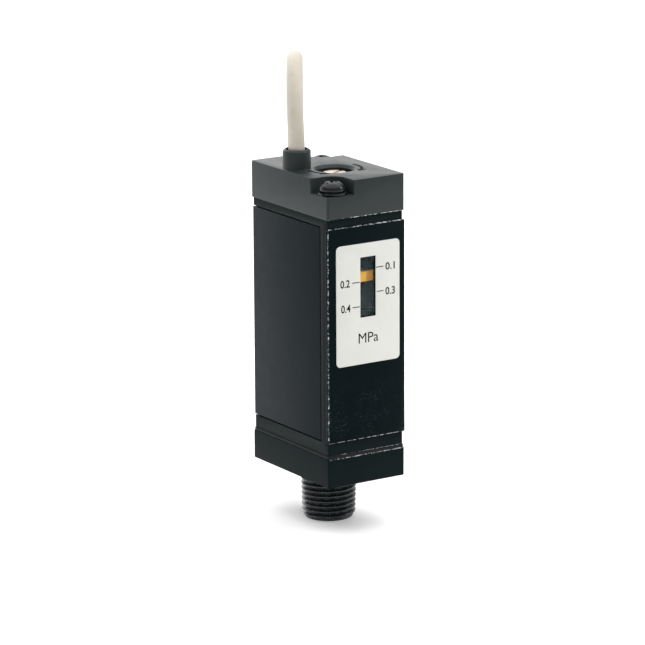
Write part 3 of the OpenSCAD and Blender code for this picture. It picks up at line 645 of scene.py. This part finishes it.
def threaded(top, bottom, crest, depth, pitch, hand, taper=0.0, run_in=0.6, end_bevel=0.3, sides=72, bore=()):
    """A screw thread about Z as one closed skin. hand is 1 for right-hand. bore is the inner outline."""
    steps_per_turn, flat, flank, bevel_slope = 14, 0.12, 0.34, 1.2
    outline = []
    steps = int((top - bottom) / pitch * steps_per_turn)
    for j in range(steps + 1):
        z = top + (bottom - top) * j / steps
        fade = min(1, max(0, (top - z) / run_in)) * min(1, max(0, (z - bottom) / (0.8 * run_in)))
        root = crest - depth
        radii = []
        for k in range(sides):
            away = abs((z / pitch - hand * k / sides) % 1 - 0.5)
            height = min(1, max(0, (flat + flank - away) / flank))
            height = height * height * (3 - 2 * height) * 0.5 + height * 0.5
            radii.append(min(root - taper * (top - z) + depth * height * fade,
                             root - end_bevel + bevel_slope * (z - bottom)))
        outline.append((radii, z))
    outline += [([r] * sides, z) for r, z in bore]
    bm = bmesh.new()
    rings = [[bm.verts.new((r * cos(tau * k / sides), r * sin(tau * k / sides), z))
              for k, r in enumerate(radii)] for radii, z in outline]
    return skinned(bm, rings, looped=bool(bore))


def o_ring(name, node, body="case"):
    """A seal ring about the mechanism's axis that fills the node's box."""
    r, low, high = node_round(node)
    cord, steps = (high - low) / 2, 20
    outline = [(r - cord + cord * cos(tau * k / steps), low + cord + cord * sin(tau * k / steps))
               for k in range(steps)]
    ring = shifted(lathe(outline, 72, closed=True), MECH.x, MECH.y)
    piece(name, ring, "rubber_black", (node,), body, smooth=60)


# ---- pressure side

def make_port():
    """The base with its pale front edges (chipped finish and painted highlight), the pipe thread with its
    bores, the orifice plug and the gasket.
    """
    block_top = HOUSING_LOW.z - (GASKET_HIGH.z - GASKET_LOW.z)
    base = combined(from_cad("port_block"), block((-20, -20, 0), (20, 20, 20)), "INTERSECT")
    # These front edges get the pale edge finish: chipped, with a painted highlight.
    front_edges = any_of(on_line(y=PLATE_LOW.y, z=block_top), on_line(y=PLATE_LOW.y, x=PLATE_LOW.x))
    bevelled(base, 0.13, 2, 40, front_edges, 1)
    bevelled(base, 0.12, 2, 40, unworn_and_highlit)
    piece("port_block_skin", base, "body_black", ("port_block",), second="worn_and_highlit_edge")
    neck_top, port_end, chamfer = 0.25, -1.5, 0.2
    bore = [(PORT_R + chamfer, FLOOR_Z), (PORT_R, FLOOR_Z + chamfer), (PORT_R, port_end),
            (PASSAGE_R, port_end), (PASSAGE_R, neck_top)]
    neck = threaded(neck_top, FLOOR_Z, THREAD_R, 0.5, THREAD_PITCH, 1, taper=1 / 32, run_in=0.9, sides=96,
                    bore=bore)
    piece("port_thread", neck, "thread_black", ("port_block",), smooth=40)
    low, high = node_box("inlet_orifice")
    plug = [(ORIFICE_R, high.z), (PORT_R, high.z), (PORT_R, low.z + 0.15), (PORT_R - 0.15, low.z),
            (1.1, low.z), (ORIFICE_R, low.z + 0.7)]
    piece("orifice_plug", lathe(plug, 64, closed=True), "brass", ("inlet_orifice",))
    refined("base_gasket", "rubber_black", width=0.08)


def make_piston():
    refined("piston", "brass", "plunger", width=0.08)
    o_ring("piston_o_ring", "piston_seal", "plunger")
    r, low, high = node_round("magnet")
    edge, dimple_r, dimple = 0.12, 0.4, 0.05
    outline = [(0, low), (r - edge, low), (r, low + edge), (r, high - edge), (r - edge, high),
               (dimple_r, high), (dimple_r - 0.08, high - dimple), (0, high - dimple)]
    piece("magnet_disc", shifted(lathe(outline), MECH.x, MECH.y), "magnet_grey", ("magnet",), "plunger")


def make_spring():
    """A coil spring with closed ends, in two halves that meet at its middle."""
    outer, low, high = node_round("set_spring")
    wire, coils, steps = 0.35, 11, 176
    radius, bottom, top = outer - wire, low + wire, high - wire
    closed = 2 * wire + 0.05
    pitch = (top - bottom - 2 * closed) / (coils - 2)

    def place(turns):
        if turns < 1:
            z = closed * turns
        elif turns > coils - 1:
            z = top - bottom - closed * (coils - turns)
        else:
            z = closed + pitch * (turns - 1)
        return MECH.x + radius * cos(tau * turns), MECH.y + radius * sin(tau * turns), bottom + z

    middle = place(coils / 2)[2]
    for name, start, ends, bodies in (("lower", 0, (low, middle), ("plunger", "case")),
                                      ("upper", coils / 2, (middle, high), ("case", "setter"))):
        points = [place(start + coils / 2 * k / steps) for k in range(steps + 1)]
        half = piece(f"spring_{name}", tube(points, wire, 14, False), "spring_steel", ("set_spring",), None,
                     smooth=60)
        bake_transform(half)


# ---- setting side

def make_setting():
    """The nut with its pointer, and the adjusting screw with what holds and seals it."""
    refined("setting_nut", "nut_grey", "setter", width=0.12)
    refined("pointer", "pointer_orange", "setter", width=0.05, smooth=10)
    top, head_low, shank_r, edge = SCREW_HIGH.z, SCREW_HIGH.z - SCREW_HEAD_H, 1.6, 0.15
    ring_low, ring_high = (corner.z for corner in node_box("retaining_ring"))
    groove_r, crown = 1.2, 0.03
    thread = threaded(FLANGE_LOW + 0.05, SCREW_LOW.z, SCREW_R, 0.24, SCREW_PITCH, -1, run_in=0.5,
                      end_bevel=0.25, sides=48)
    outline = [(0, FLANGE_LOW), (FLANGE_R - edge, FLANGE_LOW), (FLANGE_R, FLANGE_LOW + edge),
               (FLANGE_R, FLANGE_HIGH - edge), (FLANGE_R - edge, FLANGE_HIGH), (shank_r, FLANGE_HIGH),
               (shank_r, ring_low), (groove_r, ring_low), (groove_r, ring_high), (shank_r, ring_high),
               (shank_r, head_low), (SCREW_HEAD_R - 0.1, head_low), (SCREW_HEAD_R, head_low + 0.1),
               (SCREW_HEAD_R, top - 0.2), (SCREW_HEAD_R - 0.06, top - 0.06), (SCREW_HEAD_R - 0.2, top),
               (0.9, top), (0, top - crown)]
    slot_w, slot_depth, slot_turn = 0.6, 0.8, 20
    slot = moved(block((-3, -slot_w / 2, top - slot_depth), (3, slot_w / 2, top + 1)),
                 Matrix.Rotation(radians(slot_turn), 4, "Z"))
    head = bevelled(combined(lathe(outline), slot, "DIFFERENCE"), 0.05, 2, 50,
                    lambda e: all(v.co.z > top - slot_depth - 0.1 for v in e.verts))
    piece("adjusting_screw_skin", shifted(joined(thread, head), MECH.x, MECH.y), "screw_nickel",
          ("adjusting_screw",), "adjuster")
    refined("retaining_ring", "spring_steel", "adjuster", width=0.05)
    refined("thrust_washer", "brass", width=0.06)
    o_ring("shaft_o_ring", "shaft_seal")


# ---- housing and front

def lettering(text, low, high, y, weight, thick=0.012):
    """Raised print facing -Y that fills the box from low to high, both (x, z)."""
    curve = bpy.data.curves.new("text", "FONT")
    half_depth = 0.5
    curve.body, curve.extrude, curve.resolution_u, curve.offset = text, half_depth, 4, weight
    writing = bpy.data.objects.new("text", curve)
    bpy.context.scene.collection.objects.link(writing)
    graph = bpy.context.evaluated_depsgraph_get()
    bm = bmesh.new()
    bm.from_mesh(writing.evaluated_get(graph).to_mesh())
    bpy.data.objects.remove(writing)
    bpy.data.curves.remove(curve)
    xs, ys = [v.co.x for v in bm.verts], [v.co.y for v in bm.verts]
    for v in bm.verts:
        across = (v.co.x - min(xs)) / (max(xs) - min(xs))
        up = (v.co.y - min(ys)) / (max(ys) - min(ys))
        v.co = Vector((low[0] + across * (high[0] - low[0]), y - (v.co.z + half_depth) * thick,
                       low[1] + up * (high[1] - low[1])))
    bmesh.ops.remove_doubles(bm, verts=bm.verts, dist=0.0005)
    bmesh.ops.recalc_face_normals(bm, faces=bm.faces)
    return bm


def make_housing():
    front, left = PLATE_LOW.y, PLATE_LOW.x
    # Pale edges on the housing and the plate: chipped finish and painted highlight.
    refined("housing", "body_black", worn_and_highlit=on_line(y=HOUSING_LOW.y, z=HOUSING_LOW.z), worn_and_highlit_width=0.12,
            choose=on_skin(HOUSING_LOW, HOUSING_HIGH))
    refined("side_panel", "panel_black")
    edges = any_of(on_line(y=front, z=PLATE_HIGH.z), on_line(y=front, z=PLATE_LOW.z),
                   on_line(y=front, x=left))
    refined("front_plate", "plate_gloss", width=0.08, worn_and_highlit=edges, worn_and_highlit_width=0.17)
    refined("scale_label", "label_white", width=0.035)
    refined("window_lens", "window_tint", width=0.06)


def make_scale_print():
    """The scale's four ticks, its numbers and its unit, printed on the label."""
    ink, half_tick, bold = 0.012, 0.075, 0.017
    parts = []
    for x0, x1, z in ((1.81, 3.35, 37.34), (1.96, 3.36, 33.12), (-2.97, -1.46, 35.19), (-2.88, -1.47, 30.96)):
        tick = block((x0, LABEL_FACE - ink, z - half_tick), (x1, LABEL_FACE, z + half_tick))
        parts.append(bevelled(tick, 0.03, 2, 60, lambda e: abs(e.verts[0].co.y - e.verts[1].co.y) > 0.005))
    for text, low, high, weight in (
            ("0.1", (3.76, 36.62), (5.66, 37.92), bold), ("0.3", (3.76, 32.3), (5.69, 33.64), bold),
            ("0.2", (-5.33, 34.55), (-3.45, 35.9), bold), ("0.4", (-5.2, 30.25), (-3.32, 31.62), bold),
            ("MPa", (-1.7, 24.55), (2.3, 26.3), 0)):
        parts.append(lettering(text, low, high, LABEL_FACE, weight, ink))
    piece("scale_print", joined(*parts), "print_black", smooth=20)


def flat_arrow(start, end):
    """A curved arrow about the mechanism's axis, lying on the cover, with its head at the end angle."""
    radius, width, barb, head_angle, sunk, thick, steps = 4.6, 0.5, 1.7, 17, 0.02, 0.05, 18
    neck = end - head_angle * (1 if end > start else -1)

    def at(r, angle):
        return MECH.x + r * cos(radians(angle)), MECH.y + r * sin(radians(angle)), COVER_TOP - sunk

    angles = [start + (neck - start) * k / steps for k in range(steps + 1)]
    outer = [at(radius + width / 2, angle) for angle in angles]
    inner = [at(radius - width / 2, angle) for angle in angles[::-1]]
    head = [at(radius + width * barb, neck), at(radius, end), at(radius - width * barb, neck)]
    return raised(outer + head + inner, (0, 0, thick))


def make_cover():
    flat_top = Vector((COVER_HIGH.x, COVER_HIGH.y, COVER_TOP))
    chimney_bevel = 0.35
    # The cover's lower front edge gets the pale edge finish: chipped, with a painted highlight.
    refined("top_cover", "cover_black", width=0.14, segments=3, worn_and_highlit_width=0.17,
            worn_and_highlit=on_line(y=COVER_LOW.y, z=COVER_LOW.z),
            choose=any_of(on_skin(COVER_LOW, flat_top), on_line(z=COVER_HIGH.z),
                          on_line(z=COVER_HIGH.z - chimney_bevel)))
    piece("turn_arrows", joined(flat_arrow(168, 226), flat_arrow(14, -58)), "print_black", smooth=20)


# ---- fasteners

def case_screw(seat, tip, top):
    """A pan head with a tapered cross recess, a plain shank and a thread, about Z."""
    side = seat + 0.4
    dome = [(CASE_HEAD_R * sin(radians(a)), side + (top - side) * cos(radians(a))) for a in range(0, 91, 6)]
    outline = dome + [(CASE_HEAD_R, seat + 0.2), (CASE_HEAD_R - 0.1, seat + 0.05),
                      (CASE_HEAD_R - 0.25, seat), (0, seat)]
    recess_r, half_width, recess_depth = 1.25, 0.3, 1.15
    recess = []
    for turn in (45, 135):
        bar = block((-recess_r, -half_width, top - recess_depth), (recess_r, half_width, top + 1))
        for v in bar.verts:
            if v.co.z < top:
                v.co.x *= 0.42
                v.co.y *= 0.72
        recess.append(moved(bar, Matrix.Rotation(radians(turn), 4, "Z")))
    head = combined(lathe(outline, 72), combined(*recess, "UNION"), "DIFFERENCE")
    bevelled(head, 0.06, 2, 40, lambda e: all(v.co.z > top - recess_depth - 0.05 for v in e.verts))
    thread_top, edge = tip + 9, 0.2
    shank = lathe([(0, seat + 0.1), (CASE_SCREW_R, seat + 0.1), (CASE_SCREW_R, thread_top - 0.05),
                   (CASE_SCREW_R - edge, thread_top - 0.05 - edge), (0, thread_top - 0.05 - edge)], 48)
    thread = threaded(thread_top, tip, CASE_SCREW_R, 0.22, 0.45, 1, run_in=0.3, end_bevel=0.2, sides=40)
    return joined(head, shank, thread)


def lock_washer():
    """A split spring washer about Z, one end of it raised."""
    inner_r, thick, first_angle, sweep, rise, steps = 1.35, 0.44, 203, 354, 0.14, 72
    section = rounded([(inner_r, 0), (WASHER_R, 0), (WASHER_R, thick), (inner_r, thick)], 0.12, 2)
    bm = bmesh.new()
    rings = []
    for k in range(steps + 1):
        angle = radians(first_angle + sweep * k / steps)
        lift = rise * (1 - k / steps)
        rings.append([bm.verts.new((r * cos(angle), r * sin(angle), z + lift)) for r, z in section])
    return skinned(bm, rings)


def make_case_screws():
    low, high = node_box("lock_washers")
    tip, top = (corner.z for corner in node_box("case_screws"))
    for name, x, y in (("front", low.x + WASHER_R, low.y + WASHER_R),
                       ("rear", high.x - WASHER_R, high.y - WASHER_R)):
        screw = shifted(case_screw(high.z, tip, top), x, y)
        piece(f"case_screw_{name}", screw, "screw_black", ("case_screws",), smooth=38)
        piece(f"lock_washer_{name}", shifted(lock_washer(), x, y, low.z), "screw_black",
              ("lock_washers",))


def make_cable_entry():
    outer, low, high = node_round("cable_grommet")
    outline = [(LEAD_R, low), (outer, low), (outer, high - 0.25), (outer - 0.1, high - 0.05),
               (outer - 0.22, high), (LEAD_R + 0.1, high - 0.05), (LEAD_R, high - 0.2)]
    grommet = shifted(lathe(rounded(outline, 0.06, 2), 64, closed=True), LEAD_AXIS.x, LEAD_AXIS.y)
    piece("grommet_sleeve", grommet, "rubber_black", ("cable_grommet",), smooth=50)
    refined("cord_clamp", "spring_steel", width=0.06)


# ---- electrical parts

def make_conductors():
    """The two cores, from the jacket's end down to their pads, with bare tails through the board."""
    face, from_axis, tail_r = BOARD_LOW.y, 0.55, 0.26
    x, y, z = LEAD_AXIS.x, LEAD_AXIS.y, LEAD_LOW
    for name, side, pad in (("brown", -from_axis, PADS[0]), ("blue", from_axis, PADS[1])):
        core_x = x + side
        points = [(core_x, y, z), (core_x, y, z - 1.5), (core_x, y + 0.2, z - 4), (core_x, y + 0.3, z - 7),
                  (core_x, y + 0.6, z - 8.6), ((core_x + pad) / 2, face - 1.3, z - 9.9),
                  (pad, face - 0.9, PAD_Z + 0.4), (pad, face - 0.35, PAD_Z)]
        core = tube(smooth_route(points, 6), CONDUCTOR_R, 18, False)
        piece(f"core_{name}", core, f"wire_{name}", (f"conductor_{name}",), smooth=60)
        bare = [(pad, face - 0.6, PAD_Z), (pad, face + 0.3, PAD_Z), (pad, BOARD_HIGH.y + 0.5, PAD_Z)]
        bare_wire(f"core_{name}_tail", bare, tail_r)


def track(*points):
    """Flat copper on the board's rear face, through (x, z) points."""
    width, thick = 0.5, 0.05
    parts = []
    for a, b in zip(points, points[1:]):
        a, b = Vector(a), Vector(b)
        along = (b - a).normalized() * width / 2
        across = Vector((-along.y, along.x))
        outline = [a - along + across, b + along + across, b + along - across, a - along - across]
        parts.append(raised([(p.x, BOARD_HIGH.y, p.y) for p in outline], (0, thick, 0)))
    return parts


def solder_cone(x, z, r):
    """A joint on the board's rear face: its +Z points away along +Y."""
    outline = [(0, 0.68), (0.14 * r / 0.75, 0.66), (0.3 * r, 0.45), (0.45 * r, 0.25), (0.7 * r, 0.1),
               (r, 0.02), (r, -0.02), (0, -0.02)]
    place = Matrix.Translation((x, BOARD_HIGH.y, z)) @ Matrix.Rotation(radians(-90), 4, "X")
    return moved(lathe(outline, 32), place)


def make_board():
    refined("circuit_board", "board_green", width=0.06)
    reed_x = node_middle("reed_blades").x
    low_z, high_z = (corner.z for corner in node_box("reed_blades"))
    low_z, high_z = low_z + 0.25, high_z - 0.25
    resistor_low, resistor_high = node_box("series_resistor")
    left, right, resistor_z = resistor_low.x - 1.2, resistor_high.x + 1.0, node_middle("series_resistor").z
    tracks = (track((PADS[0], PAD_Z), (PADS[0], low_z), (reed_x, low_z))
              + track((PADS[1], PAD_Z), (left, resistor_z))
              + track((right, resistor_z), (right, high_z + 2), (reed_x, high_z)))
    piece("board_tracks", joined(*tracks), "copper_tinned", smooth=20)
    places = [(PADS[0], PAD_Z, 0.75), (PADS[1], PAD_Z, 0.75), (reed_x, low_z, 0.6), (reed_x, high_z, 0.6),
              (left, resistor_z, 0.55), (right, resistor_z, 0.55)]
    cones = joined(*(solder_cone(*place) for place in places))
    piece("solder_cones", cones, "solder_silver", ("solder_joints",), smooth=50)
    refined("reed_blades", "solder_silver", width=0.02)


def make_reed():
    """The contact's glass tube: sealed round at both ends, hollow between."""
    centre = node_middle("reed_capsule")
    r, low, high = node_round("reed_capsule")
    seal, wall = low + 1.4, 0.25
    half = [(0.25, low), (0.55, low + 0.05), (0.82, low + 0.3), (r, low + 0.8)]
    inner = [(0.25, seal), (0.5, seal + 0.1), (r - wall, seal + 0.7)]
    mirrored = [[(a, low + high - z) for a, z in side] for side in (half, inner)]
    capsule = lathe(half + mirrored[0][::-1] + mirrored[1] + inner[::-1], 48, closed=True)
    piece("reed_tube", shifted(capsule, centre.x, centre.y), "reed_glass", ("reed_capsule",), smooth=50)


def make_resistor():
    """A tubular resistor along X with wide ends, four bands and two bent leads."""
    low, high = node_box("series_resistor")
    _, y, z = node_middle("series_resistor")
    r, length = (high.z - low.z) / 2, high.x - low.x
    waist_r = r * 0.88
    turned = Matrix.Translation((low.x, y, z)) @ Matrix.Rotation(radians(90), 4, "Y")
    half = [(0, 0), (r * 0.6, 0.03), (r * 0.93, 0.2), (r, 0.45), (r, 0.75), (waist_r, 1.05)]
    shape = half + [(a, length - b) for a, b in half[::-1]]
    piece("resistor_body", moved(lathe(shape, 40), turned), "component_tan", ("series_resistor",), smooth=50)
    half_band, sunk, proud = 0.13, 0.05, 0.012
    for i, (at, band_r) in enumerate(((0.6, r), (1.3, waist_r), (1.75, waist_r), (length - 0.6, r))):
        band = [(band_r - sunk, at - half_band), (band_r + proud, at - half_band),
                (band_r + proud, at + half_band), (band_r - sunk, at + half_band)]
        piece(f"resistor_band_{i}", moved(lathe(band, 40, closed=True), turned), f"band_{i}")
    for name, side, x, out in (("left", -1, low.x, 1.2), ("right", 1, high.x, 1.0)):
        bend = x + side * out
        points = [(x - side * 0.2, y, z), (bend - side * 0.3, y, z), (bend - side * 0.08, y + 0.08, z),
                  (bend, y + 0.3, z), (bend, BOARD_HIGH.y + 0.45, z)]
        bare_wire(f"resistor_lead_{name}", points)


def make_suppressor():
    """A small moulded block with a pale band and a lead at each end."""
    low, high = node_box("surge_suppressor")
    body = bevelled(block(low, high), 0.22, 3, 60)
    piece("suppressor_body", body, "component_black", ("surge_suppressor",))
    proud = 0.012
    band = block((low.x - proud, low.y - proud, high.z - 1.0), (high.x + proud, high.y - 0.3, high.z - 0.6))
    piece("suppressor_band", bevelled(band, 0.1, 2, 60), "label_white")
    x, y = (low.x + high.x) / 2, (low.y + high.y) / 2
    for name, z0, z1 in (("upper", high.z - 0.1, high.z + 0.9), ("lower", low.z + 0.1, low.z - 0.9)):
        points = [(x, y, z0), (x, y, (z0 + z1) / 2), (x, y + 0.12, z1 - (z1 - z0) * 0.1),
                  (x, high.y + 0.2, z1)]
        bare_wire(f"suppressor_lead_{name}", points)


# ---- lead

HEADING = radians(33)
# The same points as the lead's route in the part's source: distance along the heading, shift to its
# left, height
LEAD_ROUTE = [
    (0, 0, LEAD_LOW), (0, 0, 51.4), (0, 0, 55.8), (0, 0.1, 58.8), (0, 0.2, 61.5),
    (0.6, 0.3, 64.7), (2.5, 0.3, 67.5), (5.2, 0.3, 69.4), (8.5, 0.3, 70), (11.8, 0.3, 69.4),
    (14.5, 0.3, 67.5), (16.4, 0.3, 64.7), (17.1, 0.3, 61.3), (17.3, 0.3, 56), (17.4, 0.3, 50),
    (17.5, 0.3, 44), (17.6, 0.3, 38), (17.8, 0.3, 32), (18.2, 0.3, 26), (19, 0.3, 20),
    (20.3, 0.3, 14), (22.4, 0.3, 8.4), (25.3, 0.3, 3.2), (29, 0.3, -1.2), (33.4, 0.3, -4.6),
    (38.3, 0.3, -6.8), (42.5, 0.3, -7.4), (46, 0.3, -7.4),
]
# The hank: its layers' height, its turns' radius, its straight runs, and where the jacket ends on it
HANK_LANE, HANK_R, HANK_RUN, HANK_LAYERS, JACKET_END = 2 * LEAD_R, 8.4, 25, 4, 7
# The stripped end: the cores' place beside the lead's middle, their length and the bare copper's
END_SHIFT, BARE_LENGTH, TIP_LENGTH = 0.6, 5, 3


def on_heading(along, left, height):
    """A place on the route, which runs off along the heading from the lead's axis."""
    return Vector((LEAD_AXIS.x + along * sin(HEADING) - left * cos(HEADING),
                   LEAD_AXIS.y + along * cos(HEADING) + left * sin(HEADING), height))


def on_hank(along, left, up):
    """A place in the hank's own frame: its middle line starts beside the end of the free route."""
    start, shift, floor_level = LEAD_ROUTE[-1]
    return on_heading(start + along, shift + left - HANK_R, floor_level + up)


def hank_turn(side, low, high, steps=16):
    """A half turn: round the far end (side 1) from left to right, or the near end from right to left."""
    centre = HANK_RUN if side > 0 else 0
    out = []
    for k in range(1, steps + 1):
        climb = min(1, k / steps / 0.75)
        climb = climb * climb * (3 - 2 * climb)
        out.append(on_hank(centre + side * HANK_R * sin(pi * k / steps), side * HANK_R * cos(pi * k / steps),
                           low + (high - low) * climb))
    return out


def hank_straight(side, up, start, end, steps=6):
    """A straight run on the left (side 1) or the right."""
    return [on_hank(start + (end - start) * k / steps, side * HANK_R, up) for k in range(1, steps + 1)]


def lead_path():
    """The lead's middle line: the free route, then layer on layer of the hank."""
    path = smooth_route([on_heading(*p) for p in LEAD_ROUTE], 5)
    for layer in range(HANK_LAYERS):
        up, last = layer * HANK_LANE, layer == HANK_LAYERS - 1
        path += hank_straight(1, up, 0, HANK_RUN)
        path += hank_turn(1, up, up)
        path += hank_straight(-1, up, HANK_RUN, JACKET_END if last else 0)
        if not last:
            path += hank_turn(-1, up, up + HANK_LANE)
    return path


def make_lead():
    """The jacket with its stripped cores, and the ties."""
    path = lead_path()
    lead = piece("lead_jacket", tube(path, LEAD_R, 24), "lead_grey", ("lead", "lead_hank"), smooth=50)
    along = (on_hank(0, 0, 0) - on_hank(1, 0, 0)).normalized()
    top_layer = (HANK_LAYERS - 1) * HANK_LANE
    inside, lap, steps = 0.8, 0.4, 8
    parts = []
    for name, side in (("brown", 1), ("blue", -1)):
        start = on_hank(JACKET_END, -HANK_R + side * END_SHIFT, top_layer)
        skin = [start - along * inside + along * (BARE_LENGTH + inside) * k / steps for k in range(steps + 1)]
        parts.append(piece(f"end_{name}", tube(skin, CONDUCTOR_R, 16), f"wire_{name}", ("lead_ends",)))
        copper = strands(start + along * (BARE_LENGTH - lap), along, TIP_LENGTH + lap, CONDUCTOR_R * 0.6)
        parts.append(piece(f"end_{name}_strands", copper, "copper_tinned"))
    parts += make_hank_ties()


def strands(start, direction, length, radius, count=6):
    """Bare copper: strands laid round a middle one, a third of a turn along the length."""
    side = direction.orthogonal().normalized()
    across = direction.cross(side)
    thin = radius / 3
    parts = [tube([start + direction * length * k / 4 for k in range(5)], thin, 8)]
    for i in range(count):
        points = []
        for k in range(13):
            angle = tau * (i / count + k / 36)
            points.append(start + direction * length * k / 12
                          + (radius - thin) * (cos(angle) * side + sin(angle) * across))
        parts.append(tube(points, thin, 8))
    return joined(*parts)


def make_hank_ties():
    """A band with rounded edges round each long side of the hank, flattened where it meets the floor."""
    band, depth, play, corner, steps = 3.0, 0.36, 0.02, LEAD_R, 6
    low, high = HANK_R - LEAD_R - play, HANK_R + LEAD_R + play
    bottom, top = -LEAD_R + play, (HANK_LAYERS - 1) * HANK_LANE + LEAD_R + play
    centres = [(high - corner, top - corner, 0), (low + corner, top - corner, 90),
               (low + corner, bottom + corner, 180), (high - corner, bottom + corner, 270)]
    section = rounded([(0, 0), (0, band), (depth, band), (depth, 0)], 0.12, 3)
    ties = []
    for name, side in (("left", 1), ("right", -1)):
        bm = bmesh.new()
        rings = []
        for x, z, first_angle in centres:
            for k in range(steps + 1):
                angle = radians(first_angle + 90 * k / steps)
                ring = []
                for out, along in section:
                    spot = on_hank(HANK_RUN * 0.45 + along, side * (x + (corner + out) * cos(angle)),
                                   z + (corner + out) * sin(angle))
                    spot.z = max(spot.z, FLOOR_Z)
                    ring.append(bm.verts.new(spot))
                rings.append(ring)
        ties.append(piece(f"hank_tie_{name}", skinned(bm, rings, looped=True), "rubber_black", ("hank_tie",)))
    return ties


# ---- stage

# Brightness of the studio's walls in front of the part and behind it, and where it changes from one to
# the other, as a share of the way to the back
WORLD_FRONT, WORLD_BACK = 0.46, 2.2
CHANGE_START, CHANGE_END = 0.45, 0.95
# Name, place and width of each round light in metres, and its power
LIGHTS = (("overhead", (0.05, 0.1, 0.9), 1.7, 14), ("right", (0.6, -0.35, 0.45), 0.35, 2))
LIT_POINT = Vector((0, 0, 0.02))


def make_stage():
    """A plain pale floor at the height of the thread's end, and soft light from above."""
    bm = bmesh.new()
    bmesh.ops.create_grid(bm, x_segments=8, y_segments=8, size=4000)
    ground = piece("floor", shifted(bm, 0, 0, FLOOR_Z), "floor_white", body=None)
    world = bpy.data.worlds.new("studio")
    world.use_nodes = True
    tree = world.node_tree
    background = tree.nodes["Background"]
    background.inputs["Color"].default_value = (1, 1, 1, 1)
    directions = tree.nodes.new("ShaderNodeTexCoord")
    split = tree.nodes.new("ShaderNodeSeparateXYZ")
    behind = tree.nodes.new("ShaderNodeMapRange")
    for socket, value in (("From Min", CHANGE_START), ("From Max", CHANGE_END),
                          ("To Min", WORLD_FRONT), ("To Max", WORLD_BACK)):
        behind.inputs[socket].default_value = value
    tree.links.new(directions.outputs["Generated"], split.inputs[0])
    tree.links.new(split.outputs["Y"], behind.inputs["Value"])
    tree.links.new(behind.outputs["Result"], background.inputs["Strength"])
    bpy.context.scene.world = world
    for name, place, size, power in LIGHTS:
        data = bpy.data.lights.new(name, "AREA")
        data.shape, data.size, data.energy = "DISK", size, power
        lamp = bpy.data.objects.new(name, data)
        lamp.location = place
        lamp.rotation_euler = (LIT_POINT - Vector(place)).to_track_quat("-Z", "Y").to_euler()
        bpy.context.scene.collection.objects.link(lamp)
    bpy.context.scene.view_settings.view_transform = "Standard"


make_camera()
make_port()
make_piston()
make_spring()
make_setting()
make_housing()
make_scale_print()
make_cover()
make_case_screws()
make_cable_entry()
make_conductors()
make_board()
make_reed()
make_resistor()
make_suppressor()
make_lead()
make_stage()
